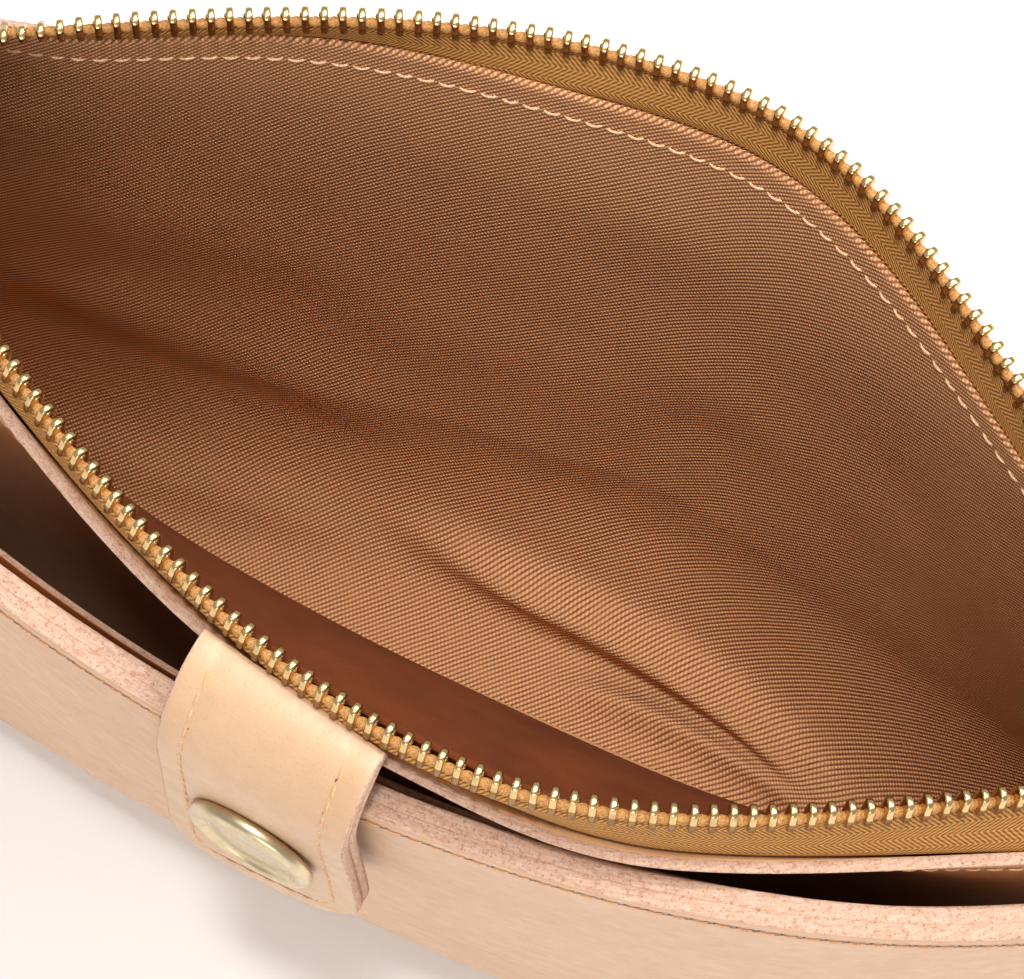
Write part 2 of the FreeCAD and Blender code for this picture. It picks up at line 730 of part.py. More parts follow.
post = dim("post_radius")
cap = dim("cap_radius")
rise = dim("cap_height")
socket = dim("socket_radius")
socket_hole = dim("socket_hole")
ball = dim("stud_radius")
flange = dim("stud_flange")
stud_top = SNAP_GAP - LEATHER - 0.7
snap_turn = FreeCAD.Rotation(vec(0, 0, 1), TAB_NORMAL)
turned("snap_cap", [
    (0.0, -2 * LEATHER), (post, -2 * LEATHER), (post, 0.0), (cap - 0.4, 0.0), (cap, 0.4), (cap, rise - 0.7),
    (cap - 0.5, rise - 0.1), (cap - 1.0, rise), (cap - 1.6, rise - 0.35), (cap - 2.0, rise - 0.7),
    (0.0, rise - 0.7)], FreeCAD.Placement(SNAP_CENTRE + TAB_NORMAL * LEATHER, snap_turn))
turned("snap_socket", [
    (0.0, 0.0), (socket, 0.0), (socket, -0.6), (socket - 1.0, -1.1), (socket - 1.3, -1.6),
    (socket_hole + 0.2, -1.6), (socket_hole, -1.4), (socket_hole, -0.5), (0.0, -0.5)],
    FreeCAD.Placement(SNAP_CENTRE - TAB_NORMAL * LEATHER, snap_turn))
turned("snap_stud", [
    (0.0, 0.0), (flange, 0.0), (flange, 0.3), (flange - 0.4, 0.6), (ball - 0.4, 0.6),
    (ball - 0.4, stud_top - 0.9), (ball, stud_top - 0.6), (ball, stud_top - 0.3), (ball - 0.3, stud_top),
    (0.0, stud_top)],
    FreeCAD.Placement(SNAP_CENTRE - TAB_NORMAL * SNAP_GAP, snap_turn))
turned("stud_rivet", [
    (0.0, 0.0), (post, 0.0), (post, -RIVET_GRIP), (post + 2.4, -RIVET_GRIP), (post + 2.4, -RIVET_GRIP - 0.4),
    (0.0, -RIVET_GRIP - 0.4)],
    FreeCAD.Placement(SNAP_CENTRE - TAB_NORMAL * SNAP_GAP, snap_turn))

# ---------------------------------------------------------------- checks and files

doc.recompute()
for item in doc.Objects:
    if "Invalid" in item.State or "Error" in item.State:
        raise RuntimeError(f"{item.Name} is {item.State}")
for item in subparts:
    if item.Shape.isNull() or not item.Shape.isValid():
        raise RuntimeError(f"{item.Label} has no valid shape")

os.makedirs("parts", exist_ok=True)
for item in subparts:
    item.Shape.exportStep(f"parts/{item.Label}.step")
    box = item.Shape.BoundBox
    print(f"{item.Label:20s} solids {len(item.Shape.Solids):3d} volume {item.Shape.Volume:9.1f}",
          f"x {box.XMin:.1f} {box.XMax:.1f} y {box.YMin:.1f} {box.YMax:.1f} z {box.ZMin:.1f} {box.ZMax:.1f}")
print(f"room between strap and pocket at the snap {SNAP_GAP - LEATHER:.2f}")
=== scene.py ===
import bisect
import math
import random

import bmesh
import bpy
from mathutils import Matrix, Vector, noise


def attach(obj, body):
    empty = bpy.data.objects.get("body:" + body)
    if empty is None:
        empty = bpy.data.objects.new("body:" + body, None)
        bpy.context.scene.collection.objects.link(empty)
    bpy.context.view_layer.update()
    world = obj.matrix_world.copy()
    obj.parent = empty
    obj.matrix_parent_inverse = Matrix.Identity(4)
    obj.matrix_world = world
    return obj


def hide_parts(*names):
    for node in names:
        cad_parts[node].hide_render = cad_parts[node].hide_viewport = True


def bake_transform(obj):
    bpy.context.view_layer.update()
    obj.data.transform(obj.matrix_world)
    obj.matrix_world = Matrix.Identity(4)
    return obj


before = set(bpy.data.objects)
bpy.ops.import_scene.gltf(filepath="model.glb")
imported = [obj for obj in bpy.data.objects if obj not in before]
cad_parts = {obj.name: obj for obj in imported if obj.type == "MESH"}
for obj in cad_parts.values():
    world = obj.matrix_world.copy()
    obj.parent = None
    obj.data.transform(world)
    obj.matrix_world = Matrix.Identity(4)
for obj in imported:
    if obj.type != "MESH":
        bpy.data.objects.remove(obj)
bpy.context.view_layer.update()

MM = 0.001
FRONT = -1
BACK = 1
random.seed(7)

# ------------------------------------------------------------------ shape of the pouch, in millimetres

LENGTH = 108.0
CHAIN_Z = 130.0
CHAIN_HALF = 1.15
BASE_DEPTH = 19.6
LEATHER = 1.4
POCKET_LEATHER = 1.8
MOUTH = {
    FRONT: {"depth": 41.3, "peak": 18.8, "left": 1.28, "right": 1.5},
    BACK: {"depth": 36.0, "peak": 13.8, "left": 1.24, "right": 2.54},
}
MOUTH_LEFT = -82.0
MOUTH_RIGHT = 106.0
WALL_POWER = {FRONT: 5.0, BACK: 0.7}
POCKET_RISE = 0.45
BACK_DRAW = 2.6
FRONT_DRAW = 1.5
FRONT_SPREAD = 3.0
LAYER_GAP = 0.35
WALL_FOOT = 1.6
POCKET_HEIGHT = 118.0
SEAM_GAP = 0.05
TILT = {FRONT: 74.0, BACK: 92.0}


def smooth(value, low, high):
    ratio = min(1.0, max(0.0, (value - low) / (high - low)))
    return ratio * ratio * (3.0 - 2.0 * ratio)


def dome(x, left, peak, right, left_power, right_power):
    if x <= left or x >= right:
        return 0.0
    if x < peak:
        return math.cos(math.pi / 2 * (peak - x) / (peak - left)) ** left_power
    return math.cos(math.pi / 2 * (x - peak) / (right - peak)) ** right_power


def chain_y(x, side):
    m = MOUTH[side]
    return CHAIN_HALF + m["depth"] * dome(x, MOUTH_LEFT, m["peak"], MOUTH_RIGHT, m["left"], m["right"])


def chain_z(x):
    return CHAIN_Z - 22.0 * (max(0.0, x - 30.0) / 76.0) ** 2


def tape_set(x, side):
    """Tape edge to the leather's inner face, measured across the mouth."""
    reach = 5.0 - 3.2 * smooth(x, -70.0, -50.0)
    if side == BACK:
        return reach - BACK_DRAW * smooth(x, -40.0, 0.0) * (1.0 - smooth(x, 55.0, 100.0))
    reach -= FRONT_DRAW * smooth(x, -45.0, -5.0) * (1.0 - smooth(x, 15.0, 42.0))
    return reach + FRONT_SPREAD * smooth(x, 35.0, 95.0)


def leather_set(x):
    return 6.0 + 2.0 * smooth(x, 0.0, 40.0)


def leather_top(x):
    return chain_z(x) - leather_set(x)


def end_taper(x, power):
    return math.sqrt(max(0.0, 1.0 - min(1.0, abs(x / LENGTH)) ** power))


def ripple(x, z, side):
    """Slow unevenness of the soft walls, which leaves the side seams alone."""
    spot = Vector((x / 38.0, z / 30.0, side * 5.0))
    return 0.7 * noise.noise(spot) * smooth(LENGTH - abs(x), 2.0, 25.0) * smooth(z, 0.0, 25.0)


def wall_depth(x, z, side):
    rise = min(1.0, max(0.0, z) / leather_top(x)) ** WALL_POWER[side]
    base = BASE_DEPTH * end_taper(x, 6)
    rim = (chain_y(x, side) + tape_set(x, side)) * end_taper(x, 12)
    return base + (rim - base) * rise + ripple(x, z, side)


def span_x(ratio):
    return -LENGTH * math.cos(math.pi * ratio)


def span_ratio(x):
    return math.acos(max(-1.0, min(1.0, -x / LENGTH))) / math.pi


def wall_point(ratio, z, side, offset):
    """A point at a distance outside a wall's inner face; inner layers shrink towards the middle."""
    x = span_x(ratio)
    depth = wall_depth(x, z, side)
    if offset < 0:
        return Vector((x * (1 + offset / LENGTH), side * (SEAM_GAP + depth * (1 + offset / 20.0)), z))
    if ratio in (0.0, 1.0):
        return Vector((x + math.copysign(offset, x), side * SEAM_GAP, z))
    step = 1e-3
    low, high = span_x(max(0.0, ratio - step)), span_x(min(1.0, ratio + step))
    along_x = high - low
    along_y = wall_depth(high, z, side) - wall_depth(low, z, side)
    size = math.hypot(along_x, along_y)
    return Vector((x - offset * along_y / size, side * (SEAM_GAP + depth + offset * along_x / size), z))


def pocket_offset(ratio, z):
    x = span_x(ratio)
    edge = 43.5 * dome(x, -LENGTH, 8.0, LENGTH, 0.75, 0.65)
    foot = wall_depth(x, 0.0, FRONT) + LEATHER
    face = foot + (edge - foot) * max(0.0, z / POCKET_HEIGHT) ** POCKET_RISE
    spare = face - wall_depth(x, z, FRONT) - LEATHER - 1.3
    extra = (spare + math.hypot(spare, 1.0)) / 2
    room = LAYER_GAP + (1.3 - LAYER_GAP) * smooth(z, 2.0, 30.0)
    return LEATHER + room + extra * smooth(z, 0.0, 15.0) * smooth(LENGTH - abs(x), 1.0, 60.0)


def pocket_top(x):
    return POCKET_HEIGHT - 0.8 * (CHAIN_Z - chain_z(x))


def facing_foot(x):
    return chain_z(x) - 40.0


def facing_top(x):
    """Up to just under the teeth where the wall stands close to its chain."""
    close = smooth(x, -60.0, -45.0) * (1.0 - smooth(x, 25.0, 48.0))
    return leather_top(x) - 0.5 + (leather_set(x) - 1.7) * close


def lining_top(x):
    return chain_z(x) - 4.0 - 3.5 * smooth(x, -45.0, 20.0)


def chain_point(x, side):
    return Vector((x, side * chain_y(x, side), chain_z(x)))


def chain_frame(x, side):
    """Tangent, the way the teeth point, and the way their outer faces look."""
    tangent = (chain_point(x + 0.01, side) - chain_point(x - 0.01, side)).normalized()
    inward = Vector((0.0, -side, 0.0))
    inward = (inward - tangent * tangent.dot(inward)).normalized()
    upward = tangent.cross(inward)
    if upward.z < 0:
        upward = -upward
    tilt = math.radians(TILT[side] * smooth(x, -73.0, -46.0))
    heads = inward * math.cos(tilt) + upward * math.sin(tilt)
    return tangent, heads, upward * math.cos(tilt) - inward * math.sin(tilt)


# ------------------------------------------------------------------ materials

def linear(rgb):
    values = [c / 255.0 for c in rgb]
    return [c / 12.92 if c <= 0.04045 else ((c + 0.055) / 1.055) ** 2.4 for c in values] + [1.0]


class Shader:
    """A Principled material and short ways to add nodes to it."""

    def __init__(self, name, **sockets):
        self.material = bpy.data.materials.new(name)
        self.material.use_nodes = True
        self.tree = self.material.node_tree
        self.bsdf = self.tree.nodes["Principled BSDF"]
        for key, value in sockets.items():
            self.bsdf.inputs[key.replace("_", " ")].default_value = value
        self.coords = self.tree.nodes.new("ShaderNodeTexCoord")

    def put(self, socket, value):
        if hasattr(value, "is_output"):
            self.tree.links.new(value, socket)
        else:
            socket.default_value = value

    def add(self, kind, inputs, output=0, **settings):
        made = self.tree.nodes.new(kind)
        for key, value in settings.items():
            setattr(made, key, value)
        for key, value in inputs.items():
            self.put(made.inputs[key], value)
        return made.outputs[output]

    def math(self, operation, a, b=0.0, c=0.0):
        return self.add("ShaderNodeMath", {0: a, 1: b, 2: c}, operation=operation)

    def noise(self, size, detail=3.0, rough=0.5, where=None):
        place = self.coords.outputs["Object"] if where is None else where
        return self.add("ShaderNodeTexNoise", {"Vector": place, "Scale": 1.0 / (size * MM), "Detail": detail,
                                               "Roughness": rough})

    def cells(self, size, where=None):
        place = self.coords.outputs["Object"] if where is None else where
        return self.add("ShaderNodeTexVoronoi", {"Vector": place, "Scale": 1.0 / (size * MM)})

    def ramp(self, value, low, high, to_low=0.0, to_high=1.0):
        return self.add("ShaderNodeMapRange", {0: value, 1: low, 2: high, 3: to_low, 4: to_high}, clamp=True)

    def mix(self, factor, a, b, blend="MIX"):
        made = self.tree.nodes.new("ShaderNodeMix")
        made.data_type = "RGBA"
        made.blend_type = blend
        for index, value in ((0, factor), (6, a), (7, b)):
            self.put(made.inputs[index], value)
        return made.outputs[2]

    def uv(self):
        parts = self.tree.nodes.new("ShaderNodeSeparateXYZ")
        self.tree.links.new(self.coords.outputs["UV"], parts.inputs[0])
        return parts.outputs[0], parts.outputs[1]

    def stretched(self, along, across):
        """UV coordinates scaled so that noise runs in streaks along the piece."""
        u, v = self.uv()
        return self.add("ShaderNodeCombineXYZ", {0: self.math("MULTIPLY", u, along),
                                                 1: self.math("MULTIPLY", v, across)})

    def bump(self, height, depth, strength=1.0, normal=None):
        inputs = {"Height": height, "Distance": depth * MM, "Strength": strength}
        if normal is not None:
            inputs["Normal"] = normal
        return self.add("ShaderNodeBump", inputs)

    def finish(self, color, roughness=None, normal=None):
        self.put(self.bsdf.inputs["Base Color"], color)
        if roughness is not None:
            self.put(self.bsdf.inputs["Roughness"], roughness)
        if normal is not None:
            self.put(self.bsdf.inputs["Normal"], normal)
        return self.material


def leather(name, light, dark, grain=0.10, gloss=0.42):
    s = Shader(name, Specular_IOR_Level=0.45)
    clouds = s.noise(26.0, 4.0, 0.55)
    mottle = s.noise(2.6, 4.0, 0.6)
    pores = s.cells(0.55)
    creases = s.noise(0.9, 5.0, 0.65)
    color = s.mix(s.ramp(clouds, 0.32, 0.68), linear(dark), linear(light))
    color = s.mix(s.ramp(mottle, 0.3, 0.8, 0.0, 0.28), color, linear([c * 0.86 for c in dark]))
    color = s.mix(s.ramp(pores, 0.0, 0.35, 0.18, 0.0), color, linear([c * 0.7 for c in dark]))
    first = s.bump(s.ramp(pores, 0.0, 0.5), 0.05, grain * 4)
    normal = s.bump(creases, 0.22, grain * 3, first)
    return s.finish(color, s.ramp(mottle, 0.2, 0.8, gloss - 0.06, gloss + 0.12), normal)


def raw_edge(name, light, dark, line):
    """Cut leather edge: loose fibres, with layers running along it."""
    s = Shader(name, Specular_IOR_Level=0.2)
    streaks = s.noise(1.0, 5.0, 0.7, s.stretched(0.4, 2.6))
    fibres = s.noise(0.55, 5.0, 0.75)
    specks = s.noise(0.28, 2.0, 0.6)
    color = s.mix(s.ramp(streaks, 0.35, 0.65), linear(dark), linear(light))
    color = s.mix(s.ramp(fibres, 0.5, 0.68, 0.0, 0.7), color, linear(line))
    color = s.mix(s.ramp(specks, 0.58, 0.7, 0.0, 0.6), color, linear([c * 0.72 for c in line]))
    return s.finish(color, 0.88, s.bump(s.math("ADD", streaks, fibres), 0.35, 0.9))


def flesh(name, light, dark):
    """Napped inner side of leather."""
    s = Shader(name, Specular_IOR_Level=0.08)
    nap = s.noise(0.3, 5.0, 0.7)
    patches = s.noise(9.0, 4.0, 0.6)
    color = s.mix(s.ramp(patches, 0.3, 0.7), linear(dark), linear(light))
    color = s.mix(s.ramp(nap, 0.45, 0.75, 0.0, 0.35), color, linear([c * 0.72 for c in dark]))
    return s.finish(color, 0.9, s.bump(nap, 0.12, 0.6))


def twill(name, light, dark, groove_shade):
    """Diagonal ribs, each a row of short yarn floats."""
    s = Shader(name, Specular_IOR_Level=0.1)
    u, v = s.uv()
    wander = s.math("MULTIPLY", s.math("SUBTRACT", s.noise(7.0, 2.0), 0.5), 0.35 * MM)
    slope = math.radians(TWILL_ANGLE)
    across = s.math("ADD", s.math("ADD", s.math("MULTIPLY", u, math.sin(slope)),
                                  s.math("MULTIPLY", v, math.cos(slope))), wander)
    along = s.math("SUBTRACT", s.math("MULTIPLY", u, math.cos(slope)), s.math("MULTIPLY", v, math.sin(slope)))
    turn = 2 * math.pi / (TWILL_PITCH * MM)
    rib = s.math("MULTIPLY_ADD", s.math("SINE", s.math("MULTIPLY", across, turn)), 0.5, 0.5)
    phase = s.math("MULTIPLY", s.math("ADD", s.math("MULTIPLY", along, 1.0 / TWILL_FLOAT),
                                      s.math("MULTIPLY", across, 0.35 / TWILL_PITCH)), 2 * math.pi / MM)
    knot = s.math("MULTIPLY_ADD", s.math("SINE", phase), 0.5, 0.5)
    height = s.math("MULTIPLY", s.math("POWER", rib, 0.8), s.math("MULTIPLY_ADD", knot, 0.62, 0.38))
    yarn = s.noise(0.5, 3.0, 0.6)
    uneven = s.noise(3.2, 3.0, 0.6)
    # colour follows the weave's height: the dark colour in the grooves between the ribs is painted shade
    color = s.mix(s.ramp(height, 0.04, 0.72), linear(groove_shade), linear(light))
    color = s.mix(s.ramp(yarn, 0.35, 0.75, 0.0, 0.30), color, linear(dark))
    color = s.mix(s.ramp(uneven, 0.4, 0.75, 0.0, 0.22), color, linear(dark))
    return s.finish(color, 0.88, s.bump(height, 0.2, 1.0))


def herringbone(name, light, dark):
    """Woven zipper tape: rows of slanted floats that change direction every rib."""
    s = Shader(name, Specular_IOR_Level=0.2)
    u, v = s.uv()
    rows = s.math("PINGPONG", v, 1.9 * MM)
    stripe = s.math("SINE", s.math("MULTIPLY", s.math("ADD", u, rows), 2 * math.pi / (0.62 * MM)))
    ridge = s.math("SINE", s.math("MULTIPLY", v, 2 * math.pi / (0.62 * MM)))
    height = s.math("MULTIPLY_ADD", stripe, 0.34, s.math("MULTIPLY_ADD", ridge, 0.1, 0.5))
    fuzz = s.noise(0.4, 3.0, 0.6)
    # colour follows the weave's height: the dark colour in its low parts is painted shade
    color = s.mix(s.ramp(height, 0.15, 0.8), linear(dark), linear(light))
    color = s.mix(s.ramp(fuzz, 0.4, 0.8, 0.0, 0.25), color, linear(dark))
    return s.finish(color, 0.75, s.bump(height, 0.12, 0.9))


def polished(name, color, dull, rough=0.16):
    s = Shader(name, Metallic=1.0)
    tarnish = s.noise(1.3, 4.0, 0.6)
    scratches = s.noise(0.5, 2.0, 0.5)
    shade = s.mix(s.ramp(tarnish, 0.45, 0.8, 0.0, 0.5), linear(color), linear(dull))
    return s.finish(shade, s.ramp(tarnish, 0.3, 0.8, rough, rough * 2), s.bump(scratches, 0.02, 0.25))


def thread(name, light, dark):
    s = Shader(name, Specular_IOR_Level=0.3)
    fibres = s.noise(0.22, 3.0, 0.6)
    color = s.mix(s.ramp(fibres, 0.35, 0.7), linear(dark), linear(light))
    return s.finish(color, 0.7, s.bump(fibres, 0.08, 0.6))


TWILL_PITCH = 0.58
TWILL_FLOAT = 0.5
TWILL_ANGLE = 45.0
GRAIN = leather("natural_leather", [202, 161, 125], [194, 150, 114])
TAB_GRAIN = leather("tab_leather", [198, 160, 125], [190, 151, 115], 0.08, 0.36)
EDGE = raw_edge("leather_edge", [222, 190, 168], [204, 160, 132], [170, 110, 90])
FLESH = flesh("leather_back", [250, 204, 150], [234, 182, 130])
DIVIDER = flesh("divider_leather", [214, 158, 108], [192, 134, 90])
SUEDE = flesh("brown_suede", [102, 51, 26], [86, 42, 21])
# the third colour is painted shade in the grooves between the ribs
TWILL = twill("brown_twill", [240, 182, 130], [202, 140, 97], [104, 57, 34])
# the darker colour is partly painted shade in the weave's low parts
TAPE = herringbone("golden_tape", [198, 144, 78], [116, 70, 30])
BEAD = thread("tape_cord", [206, 154, 92], [146, 98, 50])
GILT = polished("gilt_metal", [208, 178, 126], [146, 110, 62])
# darker metal for the tooth legs: painted shade between the teeth, with a higher roughness
GILT_SHADE_PAINTED = polished("gilt_metal_shaded", [146, 110, 64], [84, 57, 28], 0.26)
CAP = polished("gilt_metal_worn", [196, 178, 146], [168, 142, 104], 0.24)
LIGHT_THREAD = thread("light_thread", [244, 206, 168], [214, 166, 126])
TAN_THREAD = thread("tan_thread", [224, 178, 136], [192, 140, 100])
# dark patches in the needle holes: painted shade
HOLE_SHADE = thread("needle_hole_shade", [120, 64, 42], [84, 42, 26])

# ------------------------------------------------------------------ mesh helpers


def piece(name, points, faces, materials, body, slot, zones=None, uvs=None, shade=True):
    """One mesh object in the CAD frame, from points in millimetres."""
    mesh = bpy.data.meshes.new(name)
    mesh.from_pydata([tuple(p * MM) for p in points], [], faces)
    for material in materials:
        mesh.materials.append(material)
    if zones is not None:
        mesh.polygons.foreach_set("material_index", zones)
    if uvs is not None:
        layer = mesh.uv_layers.new(name="UVMap")
        layer.data.foreach_set("uv", [c * MM for pair in uvs for c in pair])
    mesh.polygons.foreach_set("use_smooth", [shade] * len(mesh.polygons))
    mesh.update()
    obj = bpy.data.objects.new(name, mesh)
    bpy.context.scene.collection.objects.link(obj)
    if body is not None:
        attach(obj, body)
    return obj


class Soup:
    """Points, faces, face materials and UVs gathered for one mesh."""

    def __init__(self):
        self.points, self.faces, self.zones, self.uvs = [], [], [], []

    def loft(self, rings, closed=True, caps=True, zone=lambda j: 0, rise=None, run=None):
        """Quads between equal rings. UVs are distances along the rings' row and round each ring."""
        base = len(self.points)
        count = len(rings[0])
        middle = count // 2
        along = [0.0]
        for before, after in zip(rings, rings[1:]):
            along.append(along[-1] + (after[middle] - before[middle]).length)
        if run is not None:
            along = run
        around = []
        for ring in rings:
            sums = [0.0]
            for j in range(count):
                sums.append(sums[-1] + (ring[(j + 1) % count] - ring[j]).length)
            around.append(sums)
        if rise is not None:
            around = rise
        for ring in rings:
            self.points.extend(ring)
        last = count if closed else count - 1
        for i in range(len(rings) - 1):
            for j in range(last):
                k = (j + 1) % count
                self.faces.append((base + i * count + j, base + (i + 1) * count + j,
                                   base + (i + 1) * count + k, base + i * count + k))
                self.zones.append(zone(j))
                self.uvs.extend([(along[i], around[i][j]), (along[i + 1], around[i + 1][j]),
                                 (along[i + 1], around[i + 1][j + 1]), (along[i], around[i][j + 1])])
        if closed and caps:
            for i, flip in ((0, False), (len(rings) - 1, True)):
                loop = [base + i * count + j for j in range(count)]
                if flip:
                    loop.reverse()
                self.faces.append(tuple(loop))
                self.zones.append(zone(count // 2))
                self.uvs.extend([(along[i], 0.0)] * count)

    def make(self, name, materials, body, slot, shade=True):
        made = piece(name, self.points, self.faces, materials, body, slot, self.zones, self.uvs, shade)
        made.data.validate()
        return made


def spread(low, high, count):
    return [low + (high - low) * k / (count - 1) for k in range(count)]


def groove(distance, at):
    """Depth of the line that a row of stitches pulls into leather."""
    return 0.16 * math.exp(-((distance - at) / 0.45) ** 2) if at else 0.0


def wall_slab(name, node, side, inner, outer, foot, top, materials, slot, stitched=0.0, inset=0.0,
              stations=190, ragged=0.06, lips=(0.3, 0.3)):
    """A leather wall with rounded, slightly uneven cut edges, in place of its CAD node."""
    out_lip, in_lip = lips
    rings = []
    steps = 26
    for i in range(stations):
        ratio = inset + (1.0 - 2.0 * inset) * i / (stations - 1)
        x = span_x(ratio)
        high = top(x) + ragged * noise.noise(Vector((x * 0.9, side * 3.0, 1.0)))
        heights = spread(foot, high - 7.0, steps) + spread(high - 6.2, high - 0.3, 16)
        ring = []
        for z in heights:
            ring.append(wall_point(ratio, z, side, outer(ratio, z) - groove(high - z, stitched)))
        rim_out, rim_in = outer(ratio, high), inner(ratio, high)
        for angle in (30, 60, 90):
            turn = math.radians(angle)
            ring.append(wall_point(ratio, high - out_lip * (1 - math.sin(turn)), side,
                                   rim_out - out_lip * (1 - math.cos(turn))))
        for share in (0.3, 0.5, 0.7):
            fuzz = ragged * noise.noise(Vector((x * 2.2, share * 9.0, side)))
            across = rim_out - out_lip - (rim_out - rim_in - out_lip - in_lip) * share
            ring.append(wall_point(ratio, high + 0.05 + fuzz, side, across))
        for angle in (90, 60, 30):
            turn = math.radians(angle)
            ring.append(wall_point(ratio, high - in_lip * (1 - math.sin(turn)), side,
                                   rim_in + in_lip * (1 - math.cos(turn))))
        for z in reversed(heights):
            ring.append(wall_point(ratio, z, side, inner(ratio, z)))
        if side == BACK:
            ring.reverse()
        rings.append(ring)
    face = len(heights)
    edge = face + 9

    def zone(j):
        if side == BACK:
            j = (2 * face + 9 - 2 - j) % (2 * face + 9)
        if j < face:
            return 0
        return 2 if j < edge - 1 else (1 if j < edge + face - 1 else 2)

    soup = Soup()
    soup.loft(rings, zone=zone)
    made = soup.make(name, materials, "pouch", slot)
    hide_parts(node)
    return made


def steady(offset):
    return lambda ratio, z: offset


def tube_stitch(soup, spots, ups, radius):
    """One stitch: a short round thread that dives at both ends."""
    rings = []
    for k, (spot, up) in enumerate(zip(spots, ups)):
        ahead = (spots[min(k + 1, len(spots) - 1)] - spots[max(k - 1, 0)]).normalized()
        beside = ahead.cross(up).normalized()
        over = beside.cross(ahead).normalized()
        rings.append([spot + (beside * math.cos(a) + over * math.sin(a) * 0.8) * radius
                      for a in [2 * math.pi * n / 7 for n in range(7)]])
    soup.loft(rings)


HOLE_LONG = 0.62
HOLE_WIDE = 0.24


def needle_hole(soup, spot, up, ahead, angle):
    """A slanted slit where a stitch dives into the leather, drawn as a flat dark patch just above the
    surface: painted shade in place of a hole.
    """
    beside = up.cross(ahead).normalized()
    long_way = ahead * math.cos(angle) + beside * math.sin(angle)
    short_way = up.cross(long_way).normalized()
    base = len(soup.points)
    for n in range(10):
        turn = 2 * math.pi * n / 10
        around = long_way * HOLE_LONG * math.cos(turn) + short_way * HOLE_WIDE * math.sin(turn)
        soup.points.append(spot + around + up * 0.03)
    soup.faces.append(tuple(range(base, base + 10)))
    soup.zones.append(1)
    soup.uvs.extend([(0.0, 0.0)] * 10)


ARCH = ((-0.5, -1.0), (-0.42, -0.1), (-0.25, 0.7), (0.0, 1.0), (0.25, 0.7), (0.42, -0.1), (0.5, -1.0))


def stitch_row(name, path, normals, body, slot, material, pitch=2.35, length=1.8, radius=0.17, slant=0.10,
               rise=0.1, holes=True):
    """Stitches at an even pitch along a path that lies on a surface, with needle holes between them, drawn as
    dark patches of painted shade.
    """
    sums = [0.0]
    for a, b in zip(path, path[1:]):
        sums.append(sums[-1] + (b - a).length)

    def at(distance):
        k = min(len(path) - 2, max(0, bisect.bisect_right(sums, distance) - 1))
        share = (distance - sums[k]) / max(1e-9, sums[k + 1] - sums[k])
        spot = path[k].lerp(path[k + 1], share)
        up = normals[k].lerp(normals[k + 1], share).normalized()
        return spot, up, (path[k + 1] - path[k]).normalized()

    soup = Soup()
    start = pitch / 2
    while start < sums[-1] - pitch / 2:
        spots, ups = [], []
        lean = slant * (0.7 + 0.6 * random.random())
        reach = length * (0.94 + 0.1 * random.random())
        for share, lift in ARCH:
            spot, up, ahead = at(start + share * reach)
            beside = up.cross(ahead).normalized()
            spots.append(spot + up * lift * rise + beside * share * 2 * lean)
            ups.append(up)
        tube_stitch(soup, spots, ups, radius)
        if holes and start > pitch:
            spot, up, ahead = at(start - pitch / 2)
            needle_hole(soup, spot, up, ahead, math.radians(random.uniform(24.0, 38.0)))
        start += pitch
    return soup.make(name, [material, HOLE_SHADE], body, slot)


def surface_row(side, offset, level, first, last, count=160):
    """A path on a wall at a height that depends on x, with the outward normals along it."""
    path, normals = [], []
    for x in spread(first, last, count):
        ratio = span_ratio(x)
        z = level(x)
        spot = wall_point(ratio, z, side, offset(ratio, z))
        aside = wall_point(min(0.999, ratio + 0.003), z, side, offset(min(0.999, ratio + 0.003), z))
        below = wall_point(ratio, z - 1.0, side, offset(ratio, z - 1.0))
        out = (aside - spot).cross(spot - below).normalized()
        if out.y * side < 0:
            out = -out
        path.append(spot)
        normals.append(out)
    return path, normals


def column(side, offset, x, low, high, count=60):
    """A vertical path on a wall beside its seam."""
    path, normals = [], []
    for z in spread(low, high, count):
        ratio = span_ratio(x)
        spot = wall_point(ratio, z, side, offset(ratio, z))
        near = span_ratio(x * 0.99)
        aside = wall_point(near, z, side, offset(near, z))
        out = (aside - spot).cross(Vector((0, 0, 1))).normalized()
        if out.dot(Vector((x, side * 30.0, 0.0))) < 0:
            out = -out
        path.append(spot)
        normals.append(out)
    return path, normals


# ------------------------------------------------------------------ leather walls, pocket and base

SKIN = [GRAIN, FLESH, EDGE]
BACKING_OUT = POCKET_LEATHER + LAYER_GAP


def backing_inner(ratio, z):
    return pocket_offset(ratio, z) + 0.3


def backing_outer(ratio, z):
    """The inner layer meets the outer one towards the rim, where the two are glued."""
    return pocket_offset(ratio, z) + POCKET_LEATHER + (LAYER_GAP - 0.01) * smooth(z, 80.0, 100.0)


def pocket_inner(ratio, z):
    return pocket_offset(ratio, z) + BACKING_OUT


def pocket_outer(ratio, z):
    return pocket_inner(ratio, z) + POCKET_LEATHER


def divider_inner(ratio, z):
    room = pocket_offset(ratio, z) - LEATHER
    return LEATHER + 0.85 * max(0.0, room - 0.7)


def divider_outer(ratio, z):
    room = pocket_offset(ratio, z) - LEATHER
    return divider_inner(ratio, z) + min(0.7, 0.8 * room)


def divider_top(x):
    return pocket_top(x) - 3.0 - 6.0 * smooth(92.0 - abs(x - 4.0), 0.0, 45.0)


